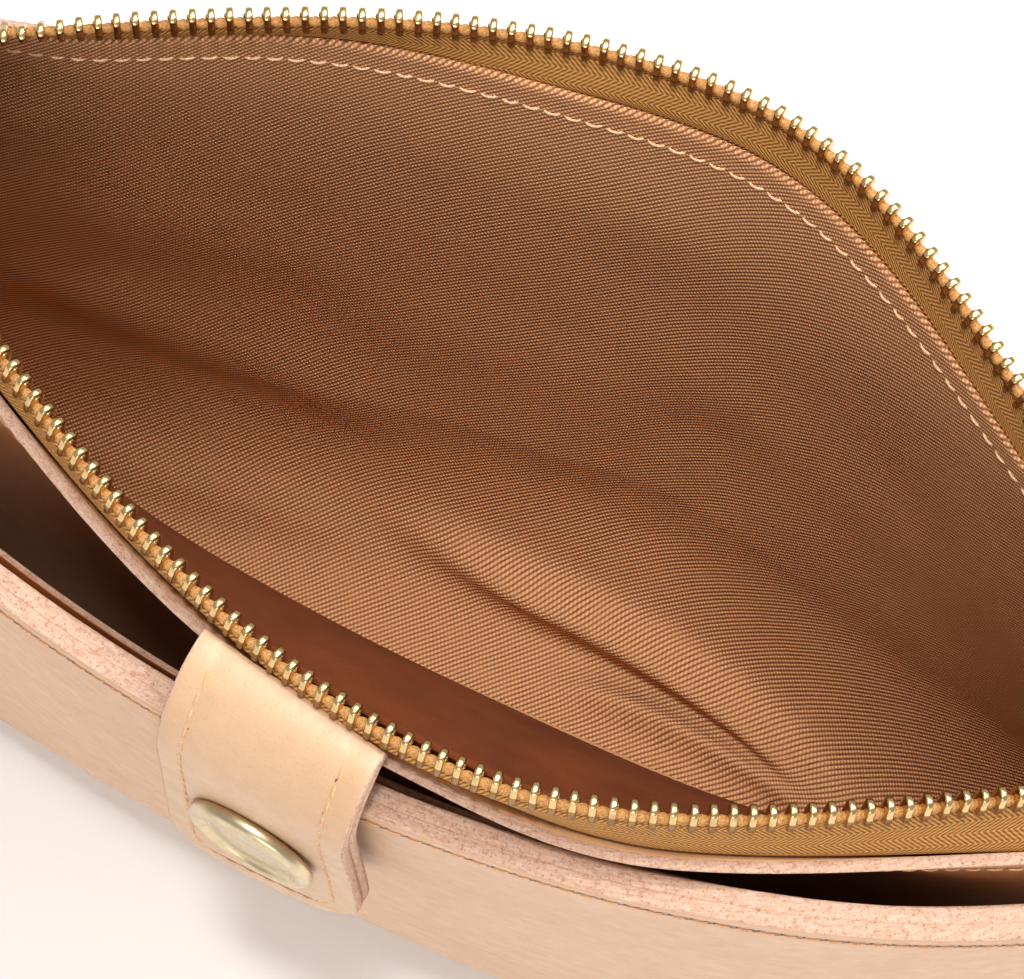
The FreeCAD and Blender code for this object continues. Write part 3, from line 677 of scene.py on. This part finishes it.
for word, side in (("front", FRONT), ("back", BACK)):
    wall_slab(f"{word}_wall_leather", f"{word}_panel", side, steady(0.0), steady(LEATHER), WALL_FOOT,
              leather_top, SKIN, "tan_leather", stitched=2.6)
wall_slab("pocket_inner_leather", "pocket_backing", FRONT, backing_inner, backing_outer, WALL_FOOT,
          pocket_top, [FLESH, FLESH, EDGE], "tan_leather", ragged=0.2, lips=(0.06, 0.4))
wall_slab("pocket_outer_leather", "pocket_panel", FRONT, pocket_inner, pocket_outer, WALL_FOOT, pocket_top,
          SKIN, "tan_leather", stitched=3.0, ragged=0.2, lips=(0.4, 0.06))
wall_slab("pocket_divider_leather", "pocket_divider", FRONT, divider_inner, divider_outer, 32.0, divider_top,
          [DIVIDER, DIVIDER, EDGE], "divider_leather", inset=0.09)
wall_slab("suede_facing", "front_facing", FRONT, steady(-1.15), steady(-0.75), facing_foot(0.0) - 18.0,
          facing_top, [SUEDE, SUEDE, SUEDE], "brown_suede", ragged=0.03, lips=(0.1, 0.1))

# the base is a flat plate with rounded rims, out to the outer faces of the walls and pocket
outline = []
for side, offset in ((FRONT, 2 * POCKET_LEATHER + LEATHER + 2 * LAYER_GAP), (BACK, LEATHER)):
    ratios = spread(0.0, 1.0, 120)[1:-1]
    if side == BACK:
        ratios.reverse()
    outline += [wall_point(r, 0.0, side, offset) for r in ratios]
centre = Vector((0.0, -1.5, 0.0))
rings = []
for shrink, z in ((0.985, 0.0), (0.996, 0.12), (1.0, 0.45), (1.0, 1.1), (0.997, 1.5), (0.98, 1.5)):
    long_shrink = 1 - (1 - shrink) * 0.2
    rings.append([Vector((centre.x + (p.x - centre.x) * long_shrink, centre.y + (p.y - centre.y) * shrink, z))
                  for p in outline])
soup = Soup()
soup.loft(rings, zone=lambda j: 0)
base = soup.make("base_leather", [GRAIN], "pouch", "tan_leather")
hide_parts("base_panel")

# ------------------------------------------------------------------ twill lining, one sheet of cloth

LINING = 1.5                # lining's mean distance inside the walls' inner faces
FOOT_ROUND = 17.0           # the lining hangs in a round hollow, not into the corners
FOOT_RISE = 36.0
HEM_BEHIND = -0.78          # the turned-under hem, its fold and the cloth in front of it
HEM_FOLD = -0.92
HEM_FRONT = -1.06
BEND_STEPS = 44


def lining_section(ratio):
    """The lining's middle line at one station: hem, back wall, base and front wall, with path lengths."""
    x = span_x(ratio)
    top = lining_top(x)
    line = [wall_point(ratio, z, BACK, HEM_BEHIND) for z in spread(top - 5.0, top - 0.4, 8)]
    line.append(wall_point(ratio, top, BACK, HEM_FOLD))
    line += [wall_point(ratio, z, BACK, HEM_FRONT - (LINING + HEM_FRONT) * smooth(top - z, 0.0, 25.0))
             for z in spread(top - 0.4, FOOT_RISE, 78)]
    back = wall_point(ratio, FOOT_RISE, BACK, -LINING)
    front = wall_point(ratio, FOOT_RISE, FRONT, -LINING)
    floor = 2.6
    share = min(1.0, (back.y - front.y) / 38.0)
    bend = FOOT_ROUND * share
    for k in range(1, BEND_STEPS):
        turn = math.pi / 2 * k / BEND_STEPS
        line.append(Vector((back.x, back.y - bend * (1 - math.cos(turn)),
                            FOOT_RISE - (FOOT_RISE - floor) * math.sin(turn))))
    low_back = line[-1].y
    low_front = front.y + bend
    line += [Vector((back.x, low_back + (low_front - low_back) * k / 16, floor)) for k in range(1, 16)]
    for k in range(BEND_STEPS - 1, 0, -1):
        turn = math.pi / 2 * k / BEND_STEPS
        line.append(Vector((front.x, front.y + bend * (1 - math.cos(turn)),
                            FOOT_RISE - (FOOT_RISE - floor) * math.sin(turn))))
    edge = facing_foot(x) - 0.6
    line += [wall_point(ratio, z, FRONT, -LINING + 0.5 * smooth(z, edge - 3.5, edge))
             for z in spread(FOOT_RISE, edge, 60)]
    return line


# soft creases: (start x, start s, end x, end s, height, width), s measured down the cloth from the back rim
CREASES = [
    (-14.0, 116.0, 47.0, 121.5, 4.6, 3.2),
    (9.0, 128.2, 47.0, 124.6, 3.2, 2.2),
    (4.0, 123.2, 40.0, 123.0, -1.8, 1.6),
    (20.0, 60.0, 8.0, 105.0, -1.6, 10.0),
    (-70.0, 70.0, -20.0, 96.0, 1.5, 9.0),
    (-62.0, 118.0, -24.0, 120.0, 1.2, 5.0),
]


def crease_lift(x, s):
    """How far the creases and a slow unevenness lift the cloth at a point."""
    lift = 0.0
    for x0, s0, x1, s1, height, width in CREASES:
        dx, ds = x1 - x0, s1 - s0
        share = ((x - x0) * dx + (s - s0) * ds) / (dx * dx + ds * ds)
        away = abs((x - x0) * ds - (s - s0) * dx) / math.hypot(dx, ds)
        along = smooth(share, -0.15, 0.3) * (1.0 - smooth(share, 0.8, 1.12))
        lift += height * along * math.exp(-(away / width) ** 2)
    return lift + 0.45 * noise.noise(Vector((x / 17.0, s / 19.0, 4.0)))


stations = 300
sections = [lining_section(i / (stations - 1)) for i in range(stations)]
lengths = []
for line in sections:
    sums = [0.0]
    for a, b in zip(line, line[1:]):
        sums.append(sums[-1] + (b - a).length)
    lengths.append(sums)
raised = []
for i, line in enumerate(sections):
    row = []
    for j, spot in enumerate(line):
        s = lengths[i][j] - lengths[i][8]
        a, b = line[max(0, j - 1)], line[min(len(line) - 1, j + 1)]
        left, right = sections[max(0, i - 1)][j], sections[min(stations - 1, i + 1)][j]
        normal = (right - left).cross(b - a)
        if normal.length < 1e-6:
            row.append(spot)
            continue
        normal.normalize()
        toward = Vector((0.0, 0.0, 60.0)) - spot
        if normal.dot(toward) < 0:
            normal = -normal
        fade = smooth(s, 6.0, 24.0) * smooth(LENGTH - abs(spot.x), 4.0, 26.0)
        fade *= smooth(lengths[i][-1] - lengths[i][j], 2.0, 14.0)
        row.append(spot + normal * max(-1.2, crease_lift(spot.x, s)) * fade)
    raised.append(row)
soup = Soup()
run = [line[40].x for line in sections]
soup.loft(raised, closed=False, rise=[[s - sums[8] for s in sums] for sums in lengths], run=run)
lining = soup.make("twill_lining", [TWILL], "pouch", "twill")
thick = lining.modifiers.new("thickness", "SOLIDIFY")
thick.thickness = 0.45 * MM
thick.offset = 0.0
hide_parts("lining_front", "lining_back", "lining_base")

# ------------------------------------------------------------------ zipper tapes, their cord beads and teeth


def tape_line(x, side):
    """The tape's middle across its width at one station, from its edge down to its hidden edge."""
    tangent, heads, _ = chain_frame(x, side)
    heads = heads - tangent * (heads.x / tangent.x)
    edge = chain_point(x, side)
    ratio = span_ratio(x)
    line = [edge, edge - heads * 0.7, edge - heads * 1.3, edge - heads * 2.0]
    for k in range(4):
        spot = wall_point(ratio, leather_top(x) + 0.6 - k * 5.0 / 3, side, -0.5)
        line.append(Vector((x, spot.y, spot.z)))
    return line


def rounded_line(points, steps):
    """Points along a smooth curve through the given ones."""
    ends = [points[0] * 2 - points[1]] + points + [points[-1] * 2 - points[-2]]
    line = []
    for a, b, c, d in zip(ends, ends[1:], ends[2:], ends[3:]):
        for k in range(steps):
            t = k / steps
            line.append(0.5 * (2 * b + (c - a) * t + (2 * a - 5 * b + 4 * c - d) * t * t
                               + (3 * b - a - 3 * c + d) * t * t * t))
    line.append(points[-1])
    return line


TAPE_LEFT, TAPE_RIGHT = -101.7, 102.3
HALF_TAPE = 0.26
for side, word in ((FRONT, "front"), (BACK, "back")):
    rings = []
    for x in spread(TAPE_LEFT, TAPE_RIGHT, 250):
        line = rounded_line(tape_line(x, side), 3)
        outer, inner = [], []
        for k, spot in enumerate(line):
            across = line[min(k + 1, len(line) - 1)] - line[max(k - 1, 0)]
            flat = Vector((0.0, across.z, -across.y)).normalized()
            outer.append(spot + flat * HALF_TAPE)
            inner.append(spot - flat * HALF_TAPE)
        ring = outer + inner[::-1]
        rings.append(ring)
    soup = Soup()
    soup.loft(rings)
    tape = soup.make(f"woven_tape_{word}", [TAPE], "pouch", "tape")
    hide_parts(f"zipper_tape_{word}")

# a tooth's outline: its two legs round the cord, and its head
TOOTH_PROFILE = [
    (-1.1, 0.36), (-1.1, 0.78), (-0.85, 0.98), (0.5, 1.0), (0.85, 0.86), (1.55, 0.84), (1.9, 0.7),
    (2.12, 0.42), (2.2, 0.14), (2.2, -0.14), (2.12, -0.42), (1.9, -0.7), (1.55, -0.84), (0.85, -0.86),
    (0.5, -1.0), (-0.85, -0.98), (-1.1, -0.78), (-1.1, -0.36), (0.2, -0.36), (0.2, 0.36),
]
TOOTH_HALF = 0.4
TOOTH_RIMS = ((0.0, 0.8), (0.04, 0.9), (0.12, 0.97), (0.22, 1.0))
NUB_PROFILE = ((0.0, 0.38), (0.14, 0.3), (0.24, 0.14))
OPEN_STRETCH = 1.12         # the open teeth's faces are wider than the closed ones'
CLOSED_END = -73.0          # where the closed chain ends


def tooth_rings():
    """A tooth as rings across its thickness, with softened rims."""
    rings = []
    slices = [(-TOOTH_HALF + inset, shrink) for inset, shrink in TOOTH_RIMS]
    slices += [(TOOTH_HALF - inset, shrink) for inset, shrink in TOOTH_RIMS[::-1]]
    for x, shrink in slices:
        ring = []
        for y, z in TOOTH_PROFILE:
            if y < 0.3 and abs(z) < 0.4:
                ring.append(Vector((x, y, z)))
            else:
                ring.append(Vector((x, 0.5 + (y - 0.5) * (1 - (1 - shrink) * 0.6), z * shrink)))
        rings.append(ring)
    return rings


def tooth_zone(j):
    """Legs round the cord get a darker, rougher metal than the polished head: the darker colour is painted
    shade.
    """
    ends = (TOOTH_PROFILE[j], TOOTH_PROFILE[(j + 1) % len(TOOTH_PROFILE)])
    return 1 if min(y for y, _ in ends) < 0.4 else 0


def placed(points, x, side, wobble):
    _, heads, faces = chain_frame(x, side)
    along = heads.cross(faces)
    spot = chain_point(x, side)
    turn = Matrix((along, heads, faces)).transposed()
    turn = turn @ Matrix.Rotation(wobble[0], 3, "Z") @ Matrix.Rotation(wobble[1], 3, "X")
    return [spot + turn @ p for p in points]


def round_ring(x, y, radius, count=8):
    return [Vector((x, y + radius * math.cos(a), radius * math.sin(a)))
            for a in [2 * math.pi * n / count for n in range(count)]]


def chain_stations(side, first, pitch=2.0, step=0.05):
    places = []
    x, walked, due = -99.5, 0.0, first
    while x < 99.5:
        if walked >= due:
            places.append(x)
            due += pitch
        walked += (chain_point(x + step, side) - chain_point(x, side)).length
        x += step
    return places


TOOTH = {"closed": tooth_rings()}
TOOTH["open"] = [[Vector((p.x, p.y, p.z * OPEN_STRETCH)) for p in ring] for ring in TOOTH["closed"]]
for side, word, first in ((FRONT, "front", 0.0), (BACK, "back", 1.0)):
    spots = chain_stations(side, first)
    groups = {"closed": [x for x in spots if x < CLOSED_END], "open": [x for x in spots if x >= CLOSED_END]}
    for group, chosen in groups.items():
        soup = Soup()
        loose = 0.03 if group == "open" else 0.006
        for x in chosen:
            wobble = (random.uniform(-loose, loose), random.uniform(-loose, loose))
            soup.loft([placed(ring, x, side, wobble) for ring in TOOTH[group]], zone=tooth_zone)
            if group == "open":
                nub = [round_ring(TOOTH_HALF - 0.02 + high, 1.4, radius) for high, radius in NUB_PROFILE]
                soup.loft([placed(ring, x, side, wobble) for ring in nub])
        teeth = soup.make(f"{group}_chain_{word}", [GILT, GILT_SHADE_PAINTED], "pouch", "gilt_metal")
        teeth.data.set_sharp_from_angle(angle=math.radians(42.0))
        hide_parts(f"{group}_teeth_{word}")
    soup = Soup()
    rings = []
    for k, x in enumerate(chain_stations(side, first - 1.0 if first else 1.0, pitch=0.25, step=0.05)):
        _, heads, faces = chain_frame(x, side)
        place = bisect.bisect(spots, x)
        near = min(abs(x - t) for t in spots[max(0, place - 1):place + 1] or [x])
        swell = 0.5 + 0.16 * smooth(near, 0.4, 0.9)
        spot = chain_point(x, side) - heads * 0.15
        rings.append([spot + (heads * math.cos(a) + faces * math.sin(a) * 0.95) * swell
                      for a in [2 * math.pi * n / 10 for n in range(10)]])
    soup.loft(rings)
    soup.make(f"tape_cord_{word}", [BEAD], "pouch", "tape")

# ------------------------------------------------------------------ snap tab

YAW = math.radians(-7.0)
LEAN = math.radians(1.0)
ROOT = Vector((0.0, -43.4, 126.6))
OUT = Vector((math.sin(YAW), -math.cos(YAW), 0.0))
UP = Vector((0.0, 0.0, 1.0))
NORMAL = OUT * math.cos(LEAN) - UP * math.sin(LEAN)
DOWN = -OUT * math.sin(LEAN) - UP * math.cos(LEAN)
BEND = ROOT + OUT * 6.6 - UP * 6.5
SNAP = BEND + DOWN * 16.0
TIP = BEND + DOWN * 35.3
HALF_TAB = 11.5
TAB_CORNER = 7.0
# the strap's middle line on its way over the pouch's edge: distance out from its root, and height
ARCH_POINTS = [(-2.3, 1.4), (-1.1, 1.2), (0.3, 0.5), (2.3, -1.2), (4.4, -3.9), (5.95, -7.3), (6.5, -11.3)]


def strap_line():
    """The strap's middle line, from under the teeth down to the tip."""
    over = [ROOT + OUT * out + UP * up for out, up in ARCH_POINTS]
    down = over[-1]
    return rounded_line(over + [down.lerp(TIP, k / 6) for k in range(1, 7)], 8)


STRAP = strap_line()
STRAP_SUMS = [0.0]
for a, b in zip(STRAP, STRAP[1:]):
    STRAP_SUMS.append(STRAP_SUMS[-1] + (b - a).length)
STRAP_LENGTH = STRAP_SUMS[-1]


def strap_across(distance):
    """The strap is a little twisted between its root and its tip."""
    yaw = math.radians(-11.0 + 3.0 * smooth(distance, 0.0, 8.0) + 6.0 * smooth(distance, 8.0, 42.0))
    return Vector((math.cos(yaw), math.sin(yaw), 0.0))


def strap_at(distance):
    k = min(len(STRAP) - 2, max(0, bisect.bisect_right(STRAP_SUMS, distance) - 1))
    share = (distance - STRAP_SUMS[k]) / (STRAP_SUMS[k + 1] - STRAP_SUMS[k])
    ahead = (STRAP[min(k + 2, len(STRAP) - 1)] - STRAP[max(k - 1, 0)]).normalized()
    across = strap_across(distance)
    return STRAP[k].lerp(STRAP[k + 1], share), ahead.cross(across).normalized(), across


def strap_half(distance):
    """Half the strap's width, rounded off at the tip."""
    into = distance - (STRAP_LENGTH - TAB_CORNER)
    if into <= 0:
        return HALF_TAB
    return HALF_TAB - TAB_CORNER + math.sqrt(max(0.0, TAB_CORNER ** 2 - into ** 2))


def strap_cup(w, distance):
    """The strap's edges curl down a little past its bend."""
    return -0.045 * (w / HALF_TAB) ** 2 * smooth(distance, 8.0, 20.0) * 10.0


def strap_layer(name, node, low, high, materials, stitched):
    rings = []
    lip = 0.3
    stops = spread(0.0, STRAP_LENGTH - TAB_CORNER, 70)
    stops += [STRAP_LENGTH - TAB_CORNER * (1 - math.sin(math.pi / 2 * k / 16)) for k in range(1, 17)]
    columns = spread(-1.0, 1.0, 31)
    for index, stop in enumerate(stops):
        spot, up, across = strap_at(min(stop, STRAP_LENGTH - 1e-6))
        skive = 1.0 - 0.45 * (1.0 - smooth(stop, 0.0, 4.0))
        half = strap_half(stop) - lip
        pinch = 0.25 if index == len(stops) - 1 else 0.0
        ring = []
        for face, sign in ((high, 1), (low, -1)):
            for c in (columns if sign > 0 else columns[::-1]):
                w = c * half
                sunk = 0.0
                if stitched and sign > 0 and stop < STRAP_LENGTH:
                    margin = min(HALF_TAB - abs(w), STRAP_LENGTH - stop)
                    sunk = groove(margin, 3.0)
                level = face * skive - sign * (pinch + sunk)
                ring.append(spot + across * w + up * (level + strap_cup(w, stop)))
            for angle in (40, 90, 140):
                turn = math.radians(angle)
                w = sign * (half + lip * math.sin(turn))
                level = face - sign * (lip - lip * math.cos(turn)) if angle < 90 else (low + high) / 2
                if angle == 140:
                    level = (low if sign > 0 else high) + sign * (lip - lip * math.cos(math.radians(40)))
                ring.append(spot + across * w + up * (level * skive + strap_cup(w, stop)))
        rings.append(ring)
    count = len(columns)

    def zone(j):
        if j < count - 1:
            return 0
        if count + 3 <= j < 2 * count + 2:
            return 1
        return 2

    soup = Soup()
    soup.loft(rings, zone=zone)
    soup.zones[-1] = 2
    made = soup.make(name, materials, None, "tan_leather")
    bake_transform(made)
    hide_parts(node)
    return made


strap_layer("strap_outer", "snap_tab_outer", 0.03, LEATHER, [TAB_GRAIN, FLESH, EDGE], True)
strap_layer("strap_inner", "snap_tab_lining", -LEATHER, -0.03, [FLESH, TAB_GRAIN, EDGE], False)


STITCH_FROM = 2.6


def strap_path(level):
    """The stitch line: down one side, round the tip and up the other, with normals."""
    path, normals = [], []
    margin = 3.0
    corner = TAB_CORNER - margin
    side_w = HALF_TAB - margin
    end = STRAP_LENGTH - margin
    spots = [(-side_w, d) for d in spread(STITCH_FROM, end - corner, 60)]
    spots += [(-side_w + corner * (1 - math.cos(t)), end - corner + corner * math.sin(t))
              for t in spread(0.0, math.pi / 2, 10)[1:]]
    spots += [(w, end) for w in spread(-side_w + corner, side_w - corner, 10)[1:]]
    spots += [(side_w - corner * (1 - math.sin(t)), end - corner + corner * math.cos(t))
              for t in spread(0.0, math.pi / 2, 10)[1:]]
    spots += [(side_w, d) for d in spread(end - corner, STITCH_FROM, 60)[1:]]
    for w, d in spots:
        spot, up, across = strap_at(d)
        path.append(spot + across * w + up * (level + strap_cup(w, d)))
        normals.append(up if level > 0 else -up)
    return path, normals


for word, level in (("outer", LEATHER - 0.14), ("inner", -LEATHER)):
    row = stitch_row(f"strap_stitches_{word}", *strap_path(level), None, "tan_leather", TAN_THREAD)
    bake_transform(row)


def turned(name, node, profile, centre, axis, body, steps=72):
    """A lathe piece round an axis, in place of its CAD node."""
    side = axis.cross(UP).normalized()
    other = axis.cross(side).normalized()
    rings = []
    for n in range(steps + 1):
        a = 2 * math.pi * n / steps
        around = side * math.cos(a) + other * math.sin(a)
        rings.append([centre + around * r + axis * h for r, h in profile])
    soup = Soup()
    soup.loft(rings, closed=False)
    made = soup.make(name, [CAP], body, "gilt_metal")
    made.data.set_sharp_from_angle(angle=math.radians(50.0))
    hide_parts(node)
    return made


CAP_PROFILE = [
    (0.0, -2.8), (1.6, -2.8), (1.6, 0.0), (7.1, 0.0), (7.35, 0.06), (7.55, 0.25), (7.6, 0.5), (7.6, 0.95),
    (7.52, 1.2), (7.3, 1.42), (7.0, 1.6), (6.7, 1.68), (6.4, 1.68), (6.15, 1.58), (5.95, 1.4), (5.8, 1.2),
    (5.6, 1.08), (5.3, 1.04), (4.9, 1.06), (4.75, 1.0), (4.6, 1.07), (3.0, 1.12), (1.5, 1.15), (0.0, 1.16),
]
SOCKET_PROFILE = [
    (0.0, 0.0), (4.9, 0.0), (5.15, -0.15), (5.2, -0.45), (5.0, -0.72), (4.4, -1.0), (4.1, -1.3), (4.0, -1.52),
    (3.8, -1.6), (3.0, -1.6), (2.75, -1.5), (2.7, -1.3), (2.7, -0.5), (0.0, -0.5),
]
turned("snap_cap_dome", "snap_cap", CAP_PROFILE, SNAP + NORMAL * LEATHER, NORMAL, "snap_tab")
turned("snap_socket_ring", "snap_socket", SOCKET_PROFILE, SNAP - NORMAL * LEATHER, NORMAL, "snap_tab")


def softened(name, node, body, width):
    """A metal part with its sharp edges rounded over, in place of its CAD node."""
    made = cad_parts[node].copy()
    made.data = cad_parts[node].data.copy()
    made.name = name
    work = bmesh.new()
    work.from_mesh(made.data)
    bmesh.ops.remove_doubles(work, verts=work.verts, dist=0.002 * MM)
    bmesh.ops.dissolve_limit(work, angle_limit=math.radians(2.0), verts=work.verts, edges=work.edges)
    work.to_mesh(made.data)
    work.free()
    made.data.materials.clear()
    made.data.materials.append(GILT)
    bpy.context.scene.collection.objects.link(made)
    bevel = made.modifiers.new("rounding", "BEVEL")
    bevel.width = width * MM
    bevel.segments = 3
    bevel.limit_method = "ANGLE"
    bevel.angle_limit = math.radians(32.0)
    bevel.harden_normals = True
    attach(made, body)
    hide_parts(node)


for name, node, body, width in (
        ("stud_dome", "snap_stud", "pouch", 0.12), ("rivet_stem", "stud_rivet", "pouch", 0.1),
        ("stop_clips", "top_stops", "pouch", 0.18), ("end_clip", "bottom_stop", "pouch", 0.18),
        ("slider_casting", "slider_body", "slider", 0.22), ("slider_bridge", "slider_crown", "slider", 0.18),
        ("pull_plate", "zipper_pull", "pull", 0.22)):
    softened(name, node, body, width)

# ------------------------------------------------------------------ rows of stitches on the walls

ROWS = [
    ("pocket_stitches", FRONT, pocket_outer, lambda x: pocket_top(x) - 3.0, TAN_THREAD, 102.0, 0.05),
    ("front_rim_stitches", FRONT, steady(LEATHER), lambda x: leather_top(x) - 2.6, TAN_THREAD, 104.0, 0.05),
    ("back_rim_stitches", BACK, steady(LEATHER), lambda x: leather_top(x) - 2.6, TAN_THREAD, 104.0, 0.05),
    ("pocket_foot_stitches", FRONT, pocket_outer, lambda x: 4.6, TAN_THREAD, 103.0, 0.05),
    ("back_foot_stitches", BACK, steady(LEATHER), lambda x: 4.6, TAN_THREAD, 103.0, 0.05),
]
for name, side, offset, level, material, reach, slant in ROWS:
    path, normals = surface_row(side, offset, level, -reach, reach)
    stitch_row(name, path, normals, "pouch", "tan_leather", material, slant=slant)
path, normals = surface_row(BACK, steady(-1.24), lambda x: lining_top(x) - 4.6, -98.0, 99.0)
stitch_row("lining_stitches", path, [-n for n in normals], "pouch", "twill", LIGHT_THREAD, length=1.9,
           radius=0.19, slant=0.12, rise=0.2, holes=False)
SIDE_ROWS = [(FRONT, "front", pocket_outer, pocket_top), (BACK, "back", steady(LEATHER), leather_top)]
for side, word, offset, top in SIDE_ROWS:
    for x, place in ((-104.5, "left"), (104.5, "right")):
        path, normals = column(side, offset, x, 8.0, top(x) - 5.0)
        stitch_row(f"{word}_{place}_stitches", path, normals, "pouch", "tan_leather", TAN_THREAD, slant=0.05)

# ------------------------------------------------------------------ floor, lights and camera


def hang(name, data, place, target, power):
    """Puts a light at a place and aims it."""
    data.energy = power
    obj = bpy.data.objects.new(name, data)
    obj.location = place
    obj.rotation_euler = (Vector(target) - Vector(place)).to_track_quat("-Z", "Y").to_euler()
    bpy.context.scene.collection.objects.link(obj)


def area_light(name, place, target, size, power):
    data = bpy.data.lights.new(name, "AREA")
    data.shape = "RECTANGLE"
    data.size, data.size_y = size
    hang(name, data, place, target, power)


def spot_light(name, place, target, angle, radius, power):
    data = bpy.data.lights.new(name, "SPOT")
    data.spot_size = math.radians(angle)
    data.spot_blend = 1.0
    data.shadow_soft_size = radius
    hang(name, data, place, target, power)


floor_mesh = bpy.data.meshes.new("studio_floor")
floor_mesh.from_pydata([(-4, -4, 0), (4, -4, 0), (4, 4, 0), (-4, 4, 0)], [], [(0, 1, 2, 3)])
floor = bpy.data.objects.new("studio_floor", floor_mesh)
bpy.context.scene.collection.objects.link(floor)
paper = Shader("studio_paper", Specular_IOR_Level=0.1)
floor_mesh.materials.append(paper.finish(linear([250, 249, 247]), 0.9))

bpy.context.scene.view_settings.view_transform = "Standard"
world = bpy.data.worlds.new("studio")
bpy.context.scene.world = world
world.use_nodes = True
world.node_tree.nodes["Background"].inputs["Color"].default_value = (1.0, 1.0, 1.0, 1.0)
world.node_tree.nodes["Background"].inputs["Strength"].default_value = 0.55
area_light("overhead", (0.1, 0.4, 1.5), (0.0, 0.0, 0.08), (1.2, 1.2), 18.0)
area_light("side", (0.5, 0.35, 1.05), (-0.03, -0.01, 0.05), (0.3, 0.3), 7.0)
area_light("key", (-0.15, -0.55, 1.15), (0.0, 0.0, 0.08), (0.45, 0.45), 1.2)
area_light("fill", (0.25, -1.1, 0.45), (0.0, 0.0, 0.08), (0.6, 0.4), 4.0)
# a narrow light from above, into the open mouth
spot_light("mouth_spot", (0.05, -0.13, 1.0), (0.012, 0.012, 0.075), 11.0, 0.06, 34.0)

CAMERA_AWAY = 0.5
camera_data = bpy.data.cameras.new("camera")
camera = bpy.data.objects.new("camera", camera_data)
bpy.context.scene.collection.objects.link(camera)
target = Vector((0.0115, -0.0128, 0.130))
azimuth, elevation = math.radians(24.5), math.radians(70.0)
level = Vector((math.sin(azimuth), -math.cos(azimuth), 0.0))
back = level * math.cos(elevation) + UP * math.sin(elevation)
camera.location = target + back * CAMERA_AWAY
camera.rotation_mode = "QUATERNION"
camera.rotation_quaternion = (-back).to_track_quat("-Z", "Y")
camera_data.lens = 171.56
camera_data.sensor_width = 36.0
camera_data.clip_start = 0.01
camera_data.dof.use_dof = False
bpy.context.scene.camera = camera

bpy.context.view_layer.update()
